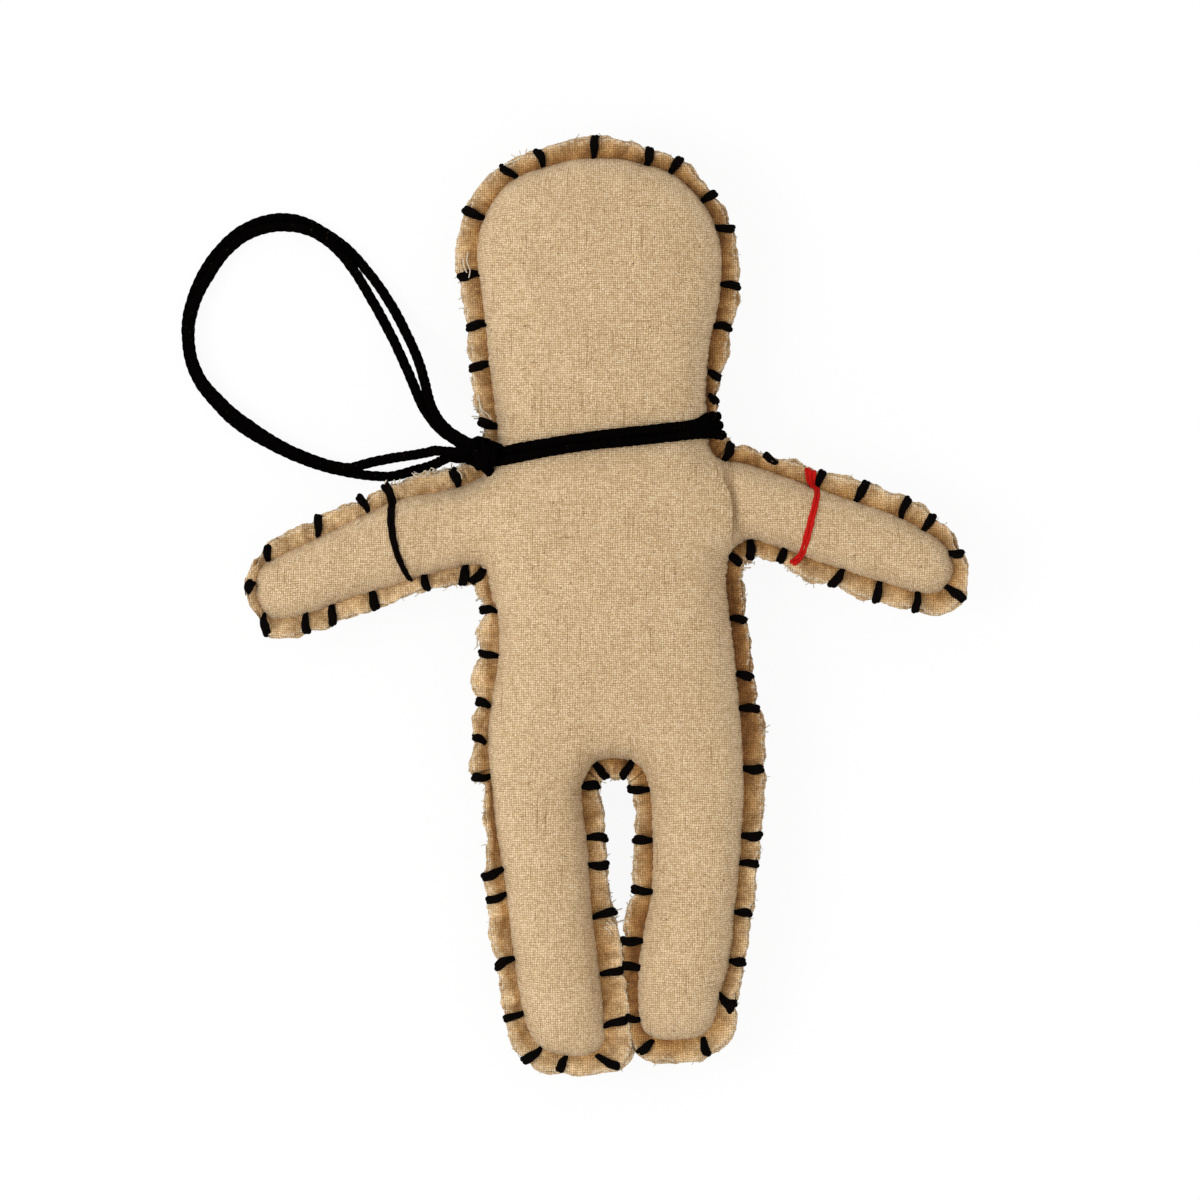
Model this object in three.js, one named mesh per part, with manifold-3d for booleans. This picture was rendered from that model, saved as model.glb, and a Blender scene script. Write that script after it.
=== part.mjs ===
// A hand-sewn stuffed linen doll that lies on its back: two flat linen panels sewn together a little
// inside their raw edges, filled with fibre, and whip-stitched all round with black yarn. A doubled
// black cord is tied round the neck and makes a hanging loop at the doll's right side (-X).
// Millimetres. +X to the doll's left, +Y towards the head, +Z out of the doll's front.

import * as THREE from 'three';
import { mergeVertices } from 'three/addons/utils/BufferGeometryUtils.js';
import Module from 'manifold-3d';

// Cloth and yarn
const seamAllowanceThickness = 1.0;
const yarnDiameter = 1.3;
const cordDiameter = 2.0;
const armThreadDiameter = 1.3;
const clearance = 0.3;

// Whip stitching
const stitchPitch = 8.4;
const stitchHoleInset = 1.35;
const stitchStartMargin = 4.5;

// Where the stitch runs begin and end: heights of the armpits and of the hips along +Y, how far down
// each leg's axis its side run starts, where the legs' borders meet, and how far above the sole the
// last stitch of the foot sits
const armpit = { left: 3.0, right: 0.5 };
const hipHeight = -12.0;
const hipOverlap = 4.0;
const legsMeetDistance = 40.0;
const footCornerHeight = 1.2;

// The depth of the flat that the doll lies on, and how deep the fullest part is
const restingFlatDepth = 0.5;
const fullestHalfDepth = 13.0;
// How much shallower than the fullest part the torso is half way down and at the hips
const waistFlattening = 0.5;
const hipFlattening = 0.7;

// Stuffed forms. Each one runs from root to tip along its own axis, ends in a rounded cap, and has
// its half width and half depth at the root, half way to the cap and at the cap.
const torso = {
  root: [-0.4, 37.0],
  tip: [1.8, -30.0],
  halfWidths: [20.3, 23.2, 24.2],
  halfDepths: [8.0, fullestHalfDepth - waistFlattening, fullestHalfDepth - hipFlattening],
  capLength: 18.0,
  capPower: 2.6,
  border: 3.4,
  tipBorder: 3.4,
};
const head = {
  root: [-0.3, 27.0],
  tip: [-0.7, 85.8],
  halfWidths: [20.3, 21.9, 23.3],
  halfDepths: [7.8, 12.0, fullestHalfDepth],
  capLength: 19.1,
  capPower: 2.6,
  border: 3.6,
  tipBorder: 4.2,
};
const leftArm = {
  root: [19.0, 23.0],
  tip: [66.4, 7.2],
  halfWidths: [7.0, 6.6, 5.9],
  halfDepths: [7.2, 6.6, 5.6],
  capLength: 6.5,
  capPower: 2.4,
  border: 2.9,
  tipBorder: 2.8,
};
const rightArm = {
  root: [-18.0, 19.0],
  tip: [-66.4, 2.6],
  halfWidths: [7.6, 7.0, 6.0],
  halfDepths: [7.2, 6.6, 5.6],
  capLength: 6.5,
  capPower: 2.4,
  border: 2.9,
  tipBorder: 2.8,
};
const leftLeg = {
  root: [17.9, -14.0],
  tip: [14.5, -82.9],
  halfWidths: [8.7, 8.7, 7.9],
  halfDepths: [11.4, 9.6, 8.4],
  capLength: 9.0,
  capPower: 2.8,
  border: 3.3,
  tipBorder: 4.0,
};
const rightLeg = {
  root: [-14.0, -14.0],
  tip: [-8.3, -86.0],
  halfWidths: [8.8, 8.7, 7.9],
  halfDepths: [11.4, 9.6, 8.4],
  capLength: 9.0,
  capPower: 2.8,
  border: 3.3,
  tipBorder: 4.0,
};

// Flexing places. distance is measured along the form's axis from its root, knuckleRadius is the
// round end that turns in the torso, and the angles are the bends that the crease leaves room for.
const neckFlex = { distance: 14.2, knuckleRadius: 3.0, forward: 15, back: 8 };
const armFlex = { distance: 11.2, knuckleRadius: 3.0, forward: 25, back: 8 };
const legFlex = { distance: 25.0, knuckleRadius: 9.4, forward: 25, back: 8 };

// Neck tie and hanging loop
const tieTurns = 2;
const tiePitch = 2.6;
const tieCentre = [-0.4, 32.4];
const tieTilt = 6.0;
const knotCentre = [-26.5, 30.5, 19.5];
const knotRadius = 2.9;
const knotLength = 6.4;
const knotCoils = 3;

// Threads wound once round the arms: the distance along the arm's axis from its root
const rightArmThreadDistance = 22.6;
const leftArmThreadDistance = 19.8;

// The hanging loop's two strands, from the knot round and back to it, heights above the surface
const outerStrand = [
  [-29.6, 33.3, 20.4], [-31.1, 34.7, 18.8], [-32.6, 36.8, 16.2], [-33.7, 39.3, 13.1],
  [-34.6, 42.8, 9.9], [-35.9, 47.2, 6.6], [-37.8, 51.9, 4.0], [-40.3, 56.5, 2.2],
  [-43.2, 60.9, 1.3], [-46.4, 65.3, 1.1], [-49.7, 69.0, 1.1], [-53.3, 71.8, 1.1],
  [-57.7, 73.9, 1.1], [-62.1, 74.4, 1.1], [-66.1, 73.6, 1.1], [-70.2, 71.4, 1.1],
  [-73.8, 68.2, 1.1], [-76.7, 64.1, 1.1], [-78.9, 59.6, 1.1], [-80.1, 54.8, 1.1],
  [-80.1, 51.0, 1.1], [-79.3, 47.2, 1.1], [-77.7, 43.1, 1.1], [-75.3, 39.3, 1.1],
  [-72.1, 36.4, 1.1], [-68.6, 33.9, 1.1], [-65.4, 31.7, 1.1], [-62.1, 29.7, 1.1],
  [-57.7, 27.6, 1.1], [-53.3, 26.3, 1.1], [-49.1, 25.5, 1.6], [-45.1, 25.3, 2.8],
  [-41.3, 25.8, 4.6], [-37.4, 26.8, 6.8], [-33.8, 27.8, 9.8], [-31.8, 28.2, 12.8],
  [-30.0, 28.6, 16.1],
];
const innerStrand = [
  [-30.7, 33.0, 17.2], [-32.1, 34.6, 15.4], [-33.6, 36.9, 12.7], [-34.9, 39.3, 9.9],
  [-36.5, 42.8, 7.3], [-38.6, 47.0, 5.0], [-40.7, 51.6, 2.9], [-43.1, 56.1, 1.5],
  [-45.7, 60.4, 1.1], [-48.5, 63.8, 1.1], [-51.6, 67.1, 1.1], [-54.6, 69.6, 1.1],
  [-58.3, 71.4, 1.1], [-62.0, 71.9, 1.1], [-65.2, 71.3, 1.1], [-68.5, 69.4, 1.1],
  [-71.8, 66.6, 1.2], [-74.4, 63.0, 1.6], [-76.6, 59.0, 2.5], [-78.3, 54.8, 3.3],
  [-78.7, 51.0, 3.5], [-77.7, 47.4, 3.4], [-76.0, 43.8, 3.0], [-73.3, 40.7, 2.2],
  [-70.2, 38.1, 1.4], [-66.9, 36.0, 1.1], [-63.9, 33.8, 1.1], [-60.7, 31.8, 1.1],
  [-56.7, 30.0, 1.1], [-52.6, 28.8, 1.1], [-48.8, 28.1, 1.5], [-44.9, 28.4, 2.9],
  [-41.1, 29.0, 5.2], [-37.1, 29.5, 8.2], [-33.8, 29.8, 12.2], [-32.6, 29.8, 16.6],
  [-30.7, 29.6, 19.3],
];

// Mesh fineness
const bellyPoints = 72;
const ringSides = 20;
const bodyRings = 6;
const capRings = 5;
const cordSides = 8;
const threadSides = 5;
const windingSides = 6;
const windingSteps = 24;
const hangingSteps = 38;

const midPlaneHeight = fullestHalfDepth - restingFlatDepth;
const halfBorderThickness = seamAllowanceThickness / 2;
const reach = 200;

const wasm = await Module();
wasm.setup();

function toSolid(geometry) {
  const bare = geometry.clone();
  bare.deleteAttribute('normal');
  bare.deleteAttribute('uv');
  const merged = mergeVertices(bare, 1e-4);
  const mesh = new wasm.Mesh({
    numProp: 3,
    vertProperties: new Float32Array(merged.attributes.position.array),
    triVerts: new Uint32Array(merged.index.array),
  });
  return new wasm.Manifold(mesh);
}

function toGeometry(solid) {
  const mesh = solid.getMesh();
  const geometry = new THREE.BufferGeometry();
  geometry.setAttribute('position', new THREE.BufferAttribute(new Float32Array(mesh.vertProperties), 3));
  geometry.setIndex(new THREE.BufferAttribute(new Uint32Array(mesh.triVerts), 1));
  geometry.computeVertexNormals();
  return geometry;
}

// Value of a smooth curve through three values at 0, 1/2 and 1
function throughThree([first, middle, last], t) {
  const linear = 4 * middle - 3 * first - last;
  const square = 2 * first - 4 * middle + 2 * last;
  return first + linear * t + square * t * t;
}

// Unit direction, sideways direction, length and straight length of a form's axis
function axisOf(form) {
  const [rootX, rootY] = form.root;
  const [tipX, tipY] = form.tip;
  const along = new THREE.Vector2(tipX - rootX, tipY - rootY);
  const length = along.length();
  along.normalize();
  const across = new THREE.Vector2(-along.y, along.x);
  return { along, across, length, straight: length - form.capLength };
}

// Half width and half depth of a form at a distance from its root, zero at the tip
function sectionAt(form, distance, border = 0, tipBorder = 0) {
  const { straight } = axisOf(form);
  const t = Math.min(distance / straight, 1);
  const over = Math.max(distance - straight, 0) / (form.capLength + tipBorder);
  const power = form.capPower;
  const narrowing = Math.pow(Math.max(1 - Math.pow(over, power), 0), 1 / power);
  const thinning = Math.sqrt(Math.max(1 - over * over, 0));
  return {
    halfWidth: (throughThree(form.halfWidths, t) + border) * narrowing,
    halfDepth: throughThree(form.halfDepths, t) * thinning,
  };
}

// Distances from the root at which a form's rings lie, closer together round its cap
function stationsOf(form, tipBorder = 0) {
  const { straight } = axisOf(form);
  const stations = [];
  for (let i = 0; i <= bodyRings; i += 1) {
    stations.push(straight * i / bodyRings);
  }
  for (let i = 1; i < capRings; i += 1) {
    const turn = Math.PI / 2 * i / capRings;
    stations.push(straight + (form.capLength + tipBorder) * Math.sin(turn));
  }
  return stations;
}

function pointOn(form, distance, sideways, height = 0) {
  const { along, across } = axisOf(form);
  return new THREE.Vector3(
    form.root[0] + along.x * distance + across.x * sideways,
    form.root[1] + along.y * distance + across.y * sideways,
    height,
  );
}

// Closed surface through rings of equal count, with a point or a flat fan at each end
function skinRings(rings, startPoint, endPoint) {
  const sides = rings[0].length;
  const vertices = [];
  rings.forEach((ring) => ring.forEach((p) => vertices.push(p.x, p.y, p.z)));
  vertices.push(startPoint.x, startPoint.y, startPoint.z, endPoint.x, endPoint.y, endPoint.z);
  const start = rings.length * sides;
  const faces = [];
  for (let j = 0; j < sides; j += 1) {
    const next = (j + 1) % sides;
    faces.push(start, next, j);
    for (let i = 0; i < rings.length - 1; i += 1) {
      const near = i * sides;
      const far = near + sides;
      faces.push(near + j, near + next, far + j, near + next, far + next, far + j);
    }
    const last = (rings.length - 1) * sides;
    faces.push(start + 1, last + j, last + next);
  }
  const geometry = new THREE.BufferGeometry();
  geometry.setAttribute('position', new THREE.Float32BufferAttribute(vertices, 3));
  geometry.setIndex(faces);
  return geometry;
}

// The filled form: elliptical sections that swell and taper from the root to the rounded tip
function stuffing(form) {
  const rings = stationsOf(form).map((distance) => {
    const { halfWidth, halfDepth } = sectionAt(form, distance);
    return Array.from({ length: ringSides }, (_, j) => {
      const turn = 2 * Math.PI * j / ringSides;
      return pointOn(form, distance, halfWidth * Math.cos(turn), halfDepth * Math.sin(turn));
    });
  });
  return toSolid(skinRings(rings, pointOn(form, 0, 0), pointOn(form, axisOf(form).length, 0)));
}

// The two raw cloth edges outside the seam, as one flat border round the form
function seamAllowance(form) {
  const stations = stationsOf(form, form.tipBorder);
  const side = (sign) => stations.map((distance) => {
    const { halfWidth } = sectionAt(form, distance, form.border, form.tipBorder);
    const p = pointOn(form, distance, sign * halfWidth);
    return new THREE.Vector2(p.x, p.y);
  });
  const tip = pointOn(form, axisOf(form).length + form.tipBorder, 0);
  const outline = [...side(-1), new THREE.Vector2(tip.x, tip.y), ...side(1).reverse()];
  const border = new THREE.ExtrudeGeometry(new THREE.Shape(outline), {
    depth: seamAllowanceThickness,
    bevelEnabled: false,
  });
  border.translate(0, 0, -halfBorderThickness);
  return toSolid(border);
}

// A prism across a form at its flexing place. Its outline, seen from the side, is a round knuckle
// joined to a wedge that leans back by the given angles in front of and behind the mid plane.
function flexPrism(form, flex, radius, frontLean, backLean, halfLength) {
  const { along } = axisOf(form);
  const profile = new THREE.Shape();
  const lean = (angle) => Math.tan(THREE.MathUtils.degToRad(angle));
  const frontStart = Math.PI / 2 - THREE.MathUtils.degToRad(frontLean);
  const backEnd = 1.5 * Math.PI + THREE.MathUtils.degToRad(backLean);
  profile.moveTo(reach, 2 * fullestHalfDepth);
  profile.lineTo(lean(frontLean) * 2 * fullestHalfDepth, 2 * fullestHalfDepth);
  const arcSteps = 12;
  for (let i = 0; i <= arcSteps; i += 1) {
    const turn = frontStart + (backEnd - frontStart) * i / arcSteps;
    profile.lineTo(radius * Math.cos(turn), radius * Math.sin(turn));
  }
  profile.lineTo(lean(backLean) * 2 * fullestHalfDepth, -2 * fullestHalfDepth);
  profile.lineTo(reach, -2 * fullestHalfDepth);
  const prism = new THREE.ExtrudeGeometry(profile, { depth: 2 * halfLength, bevelEnabled: false });
  const forward = new THREE.Vector3(along.x, along.y, 0);
  const up = new THREE.Vector3(0, 0, 1);
  const axle = new THREE.Vector3().crossVectors(forward, up);
  const centre = pointOn(form, flex.distance, 0).addScaledVector(axle, -halfLength);
  prism.applyMatrix4(new THREE.Matrix4().makeBasis(forward, up, axle).setPosition(centre));
  return toSolid(prism);
}

function widestBorder(form) {
  return Math.max(...form.halfWidths) + form.border + clearance;
}

// The part of a form that bends, from its knuckle to its tip
function bendingPart(form, flex) {
  const whole = stuffing(form).add(seamAllowance(form));
  const room = flexPrism(form, flex, flex.knuckleRadius, flex.forward, flex.back, widestBorder(form));
  return whole.intersect(room);
}

// What the torso loses to let that part bend
function bendingRoom(form, flex) {
  const width = widestBorder(form);
  return flexPrism(form, flex, flex.knuckleRadius + clearance, 0, 0, width);
}

function lieFlat(solid) {
  const below = new THREE.BoxGeometry(2 * reach, 2 * reach, reach);
  below.translate(0, 0, -midPlaneHeight - reach / 2);
  return solid.subtract(toSolid(below));
}

// Seam line of a form as a fine open path: from a distance on one side, round the tip, and back to a
// distance on the other side
function seamPath(form, sign, start, end) {
  const { length } = axisOf(form);
  const fine = 160;
  const side = (which, first) => Array.from({ length: fine + 1 }, (_, i) => {
    const turn = Math.PI / 2 * i / fine;
    const distance = first + (length - first) * Math.sin(turn);
    return pointOn(form, distance, which * sectionAt(form, distance).halfWidth);
  });
  return [...side(sign, start), ...side(-sign, end).reverse().slice(1)];
}

// One side of a form's seam line between two distances from its root
function seamSide(form, sign, start, end) {
  const fine = 60;
  return Array.from({ length: fine + 1 }, (_, i) => {
    const distance = start + (end - start) * i / fine;
    return pointOn(form, distance, sign * sectionAt(form, distance).halfWidth);
  });
}

// Evenly spaced places on a path, each with its outward direction and the border's width there. Every
// second one takes a stitch, and the ones between lead the yarn along the back.
function stitchPlaces(path, form, outwardSign) {
  const lengths = [0];
  for (let i = 1; i < path.length; i += 1) {
    lengths.push(lengths[i - 1] + path[i].distanceTo(path[i - 1]));
  }
  const total = lengths[lengths.length - 1];
  const count = Math.max(Math.floor(total / stitchPitch) + 1, 2);
  const { along, length, straight } = axisOf(form);
  return Array.from({ length: 2 * count - 1 }, (_, i) => {
    const target = total * i / (2 * count - 2);
    let k = 1;
    while (k < path.length - 1 && lengths[k] < target) {
      k += 1;
    }
    const share = (target - lengths[k - 1]) / (lengths[k] - lengths[k - 1]);
    const point = path[k - 1].clone().lerp(path[k], share);
    const tangent = path[k].clone().sub(path[k - 1]).normalize();
    const outward = new THREE.Vector3(-tangent.y, tangent.x, 0).multiplyScalar(outwardSign);
    const distance = (point.x - form.root[0]) * along.x + (point.y - form.root[1]) * along.y;
    const capShare = Math.max((distance - straight) / (length - straight), 0);
    const border = form.border + (form.tipBorder - form.border) * capShare;
    return { point, outward, border };
  });
}

// Route of a whip stitch run: up through each hole, over the raw edge and back under to the next hole
function whipRoute(places) {
  const rise = halfBorderThickness + clearance + yarnDiameter / 2;
  const over = clearance + yarnDiameter / 2;
  const route = [];
  places.forEach(({ point, outward, border }, i) => {
    const at = (out, height) => point.clone().addScaledVector(outward, out).setZ(height);
    if (i % 2 === 1) {
      route.push(at((border + stitchHoleInset) / 2, -rise));
      return;
    }
    route.push(at(stitchHoleInset, -rise), at(stitchHoleInset, rise));
    route.push(at(border + clearance, rise), at(border + over, rise / 2));
    route.push(at(border + over, -rise / 2), at(border + clearance, -rise));
  });
  return route;
}

function stitchHoles(places) {
  const width = yarnDiameter + 2 * clearance;
  return places.filter((_, i) => i % 2 === 0).map(({ point, outward }) => {
    const hole = new THREE.BoxGeometry(width, width, 2 * seamAllowanceThickness);
    hole.rotateZ(Math.atan2(outward.y, outward.x));
    const centre = point.clone().addScaledVector(outward, stitchHoleInset);
    hole.translate(centre.x, centre.y, 0);
    return toSolid(hole);
  });
}

// A solid tube of straight runs with mitred corners
function tubeThrough(points, radius, sides) {
  const directions = points.slice(1).map((p, i) => p.clone().sub(points[i]).normalize());
  let normal = new THREE.Vector3(0, 0, 1);
  if (Math.abs(directions[0].z) > 0.9) {
    normal = new THREE.Vector3(1, 0, 0);
  }
  const rings = points.map((point, i) => {
    const before = directions[Math.max(i - 1, 0)];
    const after = directions[Math.min(i, directions.length - 1)];
    const plane = before.clone().add(after).normalize();
    normal.addScaledVector(before, -normal.dot(before)).normalize();
    const side = new THREE.Vector3().crossVectors(before, normal);
    const ring = Array.from({ length: sides }, (_, j) => {
      const turn = 2 * Math.PI * j / sides;
      const offset = normal.clone().multiplyScalar(radius * Math.cos(turn));
      offset.addScaledVector(side, radius * Math.sin(turn));
      return offset.addScaledVector(before, -offset.dot(plane) / before.dot(plane)).add(point);
    });
    normal.addScaledVector(after, -normal.dot(after)).normalize();
    return ring;
  });
  return skinRings(rings, points[0], points[points.length - 1]);
}

// Least clear distance between a winding's runs that aren't neighbours along it
function leastGap(points, diameter) {
  const fine = [];
  for (let i = 1; i < points.length; i += 1) {
    for (let j = 0; j < 4; j += 1) {
      fine.push(points[i - 1].clone().lerp(points[i], j / 4));
    }
  }
  const lengths = [0];
  for (let i = 1; i < fine.length; i += 1) {
    lengths.push(lengths[i - 1] + fine[i].distanceTo(fine[i - 1]));
  }
  let least = Infinity;
  for (let i = 0; i < fine.length; i += 1) {
    for (let j = i + 1; j < fine.length; j += 1) {
      if (lengths[j] - lengths[i] > 2.5 * diameter) {
        least = Math.min(least, fine[i].distanceTo(fine[j]) - diameter);
      }
    }
  }
  return least;
}

// Convex outline round a set of flat points, in order
function tautRound(points) {
  const sorted = [...points].sort((a, b) => a[0] - b[0] || a[1] - b[1]);
  const turnsLeft = (a, b, c) => (b[0] - a[0]) * (c[1] - a[1]) - (b[1] - a[1]) * (c[0] - a[0]) > 1e-9;
  const half = (list) => {
    const chain = [];
    list.forEach((p) => {
      while (chain.length > 1 && !turnsLeft(chain[chain.length - 2], chain[chain.length - 1], p)) {
        chain.pop();
      }
      chain.push(p);
    });
    return chain.slice(0, -1);
  };
  return [...half(sorted), ...half(sorted.reverse())];
}

// A taut ring round an elliptical section and its border, as a smooth closed curve in width and depth
function ringRound(halfWidth, halfDepth, low, high, offset) {
  const rise = halfBorderThickness + offset;
  const corners = [[low, rise], [low, -rise], [high, rise], [high, -rise]];
  const belly = Array.from({ length: bellyPoints }, (_, i) => {
    const turn = 2 * Math.PI * i / bellyPoints;
    return [(halfWidth + offset) * Math.cos(turn), (halfDepth + offset) * Math.sin(turn)];
  });
  const outline = tautRound([...corners, ...belly]).map(([x, y]) => new THREE.Vector3(x, y, 0));
  return new THREE.CatmullRomCurve3(outline, true, 'centripetal');
}

function yarnMaterial(color) {
  return new THREE.MeshStandardMaterial({ color, roughness: 0.85, metalness: 0 });
}

const doll = new THREE.Group();
doll.position.z = midPlaneHeight;
const linen = () => new THREE.MeshStandardMaterial({ color: 0xcdb38b, roughness: 0.92, metalness: 0 });

function place(name, geometry, material) {
  const mesh = new THREE.Mesh(geometry, material);
  mesh.name = name;
  doll.add(mesh);
}

// Stitch runs: each keeps clear of the places where the doll bends and of the threads round the arms
function limbRun(name, form, start) {
  return { name, places: stitchPlaces(seamPath(form, 1, start, start), form, 1) };
}

// A leg has one run down its outer side and along the foot, and one down its inner side to where the
// legs meet
function legRuns(name, form, outerSign) {
  const start = legFlex.distance + stitchStartMargin;
  const footEnd = axisOf(form).length - footCornerHeight;
  const inner = seamSide(form, -outerSign, start, legsMeetDistance);
  return [
    {
      name: `${name}_stitches`,
      places: stitchPlaces(seamPath(form, outerSign, start, footEnd), form, outerSign),
    },
    { name: `${name}_inner_stitches`, places: stitchPlaces(inner, form, -outerSign) },
  ];
}

const torsoAxis = axisOf(torso);
const torsoAt = (height) => (height - torso.root[1]) / torsoAxis.along.y;

// The torso's side from the armpit to the hip, and on down the leg's outer side to its crease
function torsoSideRun(name, sign, armpitHeight, leg) {
  const crease = legFlex.distance - legFlex.knuckleRadius - clearance - yarnDiameter;
  const side = seamSide(torso, sign, torsoAt(armpitHeight), torsoAt(hipHeight));
  const path = [...side, ...seamSide(leg, sign, hipOverlap, crease)];
  return { name, places: stitchPlaces(path, torso, sign) };
}

const runs = {
  head: [limbRun('head_stitches', head, neckFlex.distance + stitchStartMargin)],
  left_arm: [limbRun('left_arm_stitches', leftArm, leftArmThreadDistance + stitchStartMargin)],
  right_arm: [limbRun('right_arm_stitches', rightArm, rightArmThreadDistance + stitchStartMargin)],
  left_leg: legRuns('left_leg', leftLeg, 1),
  right_leg: legRuns('right_leg', rightLeg, -1),
  torso: [
    torsoSideRun('torso_left_stitches', 1, armpit.left, leftLeg),
    torsoSideRun('torso_right_stitches', -1, armpit.right, rightLeg),
  ],
};

// The stuffed pieces: the limbs and head bend in creases that the larger torso leaves open
const bending = [
  ['head', head, neckFlex],
  ['left_arm', leftArm, armFlex],
  ['right_arm', rightArm, armFlex],
  ['left_leg', leftLeg, legFlex],
  ['right_leg', rightLeg, legFlex],
];
let torsoSolid = stuffing(torso).add(seamAllowance(torso));
bending.forEach(([, form]) => {
  torsoSolid = torsoSolid.add(stuffing(form)).add(seamAllowance(form));
});
bending.forEach(([, form, flex]) => {
  torsoSolid = torsoSolid.subtract(bendingRoom(form, flex));
});
const stuffed = { torso: torsoSolid };
bending.forEach(([name, form, flex]) => {
  stuffed[name] = bendingPart(form, flex);
});

// A thread wound once round an arm: over the upper raw edge and through the cloth at the lower seam
function armThread(form, distance, upperSign) {
  const { halfWidth, halfDepth } = sectionAt(form, distance);
  const offset = clearance + armThreadDiameter / 2;
  const edge = halfWidth + form.border + offset;
  const hole = -(halfWidth + stitchHoleInset);
  const ring = ringRound(halfWidth, halfDepth, hole, edge, offset);
  const overlap = 1.04;
  const lap = armThreadDiameter + 2 * clearance;
  const startShare = 0.12;
  const points = Array.from({ length: windingSteps + 2 }, (_, i) => {
    const turn = overlap * i / (windingSteps + 1);
    const flat = ring.getPointAt((startShare + turn) % 1);
    return pointOn(form, distance + lap * turn, upperSign * flat.x, flat.y);
  });
  const opening = new THREE.BoxGeometry(
    2 * lap + armThreadDiameter, armThreadDiameter + 2 * clearance, 2 * seamAllowanceThickness,
  );
  const { along } = axisOf(form);
  opening.rotateZ(Math.atan2(along.y, along.x));
  const centre = pointOn(form, distance + lap / 2, upperSign * hole);
  opening.translate(centre.x, centre.y, 0);
  return { points, opening: toSolid(opening) };
}

const armThreads = [
  ['right_arm_thread', 'right_arm', rightArm, rightArmThreadDistance, -1, 0x17130f],
  ['left_arm_thread', 'left_arm', leftArm, leftArmThreadDistance, 1, 0xb5120f],
];
armThreads.forEach(([name, owner, form, distance, upperSign, color]) => {
  const { points, opening } = armThread(form, distance, upperSign);
  stuffed[owner] = stuffed[owner].subtract(opening);
  console.log(name, 'least gap to itself', leastGap(points, armThreadDiameter).toFixed(2), 'mm');
  place(name, tubeThrough(points, armThreadDiameter / 2, windingSides), yarnMaterial(color));
});

Object.entries(stuffed).forEach(([name, solid]) => {
  const holes = runs[name].flatMap(({ places }) => stitchHoles(places));
  const finished = lieFlat(holes.reduce((body, hole) => body.subtract(hole), solid));
  place(name, toGeometry(finished), linen());
  runs[name].forEach((run) => {
    const route = whipRoute(run.places);
    const count = (run.places.length + 1) / 2;
    console.log(run.name, count, 'stitches, least gap', leastGap(route, yarnDiameter).toFixed(2), 'mm');
    place(run.name, tubeThrough(route, yarnDiameter / 2, threadSides), yarnMaterial(0x17130f));
  });
});

// Neck tie: two turns of the cord, side by side, round the neck and its border
function neckTie() {
  const torsoNeck = sectionAt(torso, torsoAt(tieCentre[1] - tiePitch));
  const headNeck = sectionAt(head, tieCentre[1] + tiePitch - head.root[1]);
  const halfWidth = Math.max(torsoNeck.halfWidth, headNeck.halfWidth);
  const halfDepth = Math.max(torsoNeck.halfDepth, headNeck.halfDepth);
  const offset = clearance + cordDiameter / 2;
  const edge = halfWidth + Math.max(torso.border, head.border) + offset + clearance;
  const ring = ringRound(halfWidth, halfDepth, -edge, edge, offset);
  const steps = tieTurns * windingSteps;
  const startShare = 0.61;
  const turns = tieTurns - 0.13;
  return Array.from({ length: steps + 1 }, (_, i) => {
    const turn = turns * i / steps;
    const flat = ring.getPointAt((startShare + turn) % 1);
    const shift = tiePitch * (turn - turns / 2);
    const lift = flat.x * Math.tan(THREE.MathUtils.degToRad(tieTilt));
    return new THREE.Vector3(tieCentre[0] + flat.x, tieCentre[1] + lift - shift, -flat.y);
  });
}
const tiePoints = neckTie();
console.log('neck_cord least gap to itself', leastGap(tiePoints, cordDiameter).toFixed(2), 'mm');
place('neck_cord', tubeThrough(tiePoints, cordDiameter / 2, windingSides), yarnMaterial(0x141110));

// The knot: a barrel of close turns, its axis along the tie
function knot() {
  const profile = [new THREE.Vector2(0, -knotLength / 2)];
  const steps = 4 * knotCoils;
  for (let i = 0; i <= steps; i += 1) {
    const share = i / steps;
    const ridge = 1 - 0.12 * (1 + Math.cos(2 * Math.PI * knotCoils * share));
    const barrel = Math.sqrt(1 - Math.pow(0.9 * (2 * share - 1), 2));
    profile.push(new THREE.Vector2(knotRadius * ridge * barrel, knotLength * (share - 0.5)));
  }
  profile.push(new THREE.Vector2(0, knotLength / 2));
  const barrel = new THREE.LatheGeometry(profile, 14);
  barrel.translate(knotCentre[0], knotCentre[1], knotCentre[2] - midPlaneHeight);
  return barrel;
}
place('neck_knot', knot(), yarnMaterial(0x141110));

function strand(name, route) {
  const points = route.map(([x, y, z]) => new THREE.Vector3(x, y, z - midPlaneHeight));
  const curve = new THREE.CatmullRomCurve3(points, false, 'centripetal');
  const section = new THREE.Shape().absarc(0, 0, cordDiameter / 2, 0, 2 * Math.PI);
  const outline = new THREE.Shape(section.getPoints(cordSides / 2).slice(0, cordSides));
  const tube = new THREE.ExtrudeGeometry(outline, {
    steps: hangingSteps,
    extrudePath: curve,
    bevelEnabled: false,
  });
  console.log(name, 'length', curve.getLength().toFixed(1), 'mm');
  place(name, tube, yarnMaterial(0x141110));
}
strand('hanging_strand_outer', outerStrand);
strand('hanging_strand_inner', innerStrand);

export default doll;
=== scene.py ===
import math

import bpy
import numpy as np
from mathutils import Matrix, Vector, geometry
from mathutils.bvhtree import BVHTree


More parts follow.
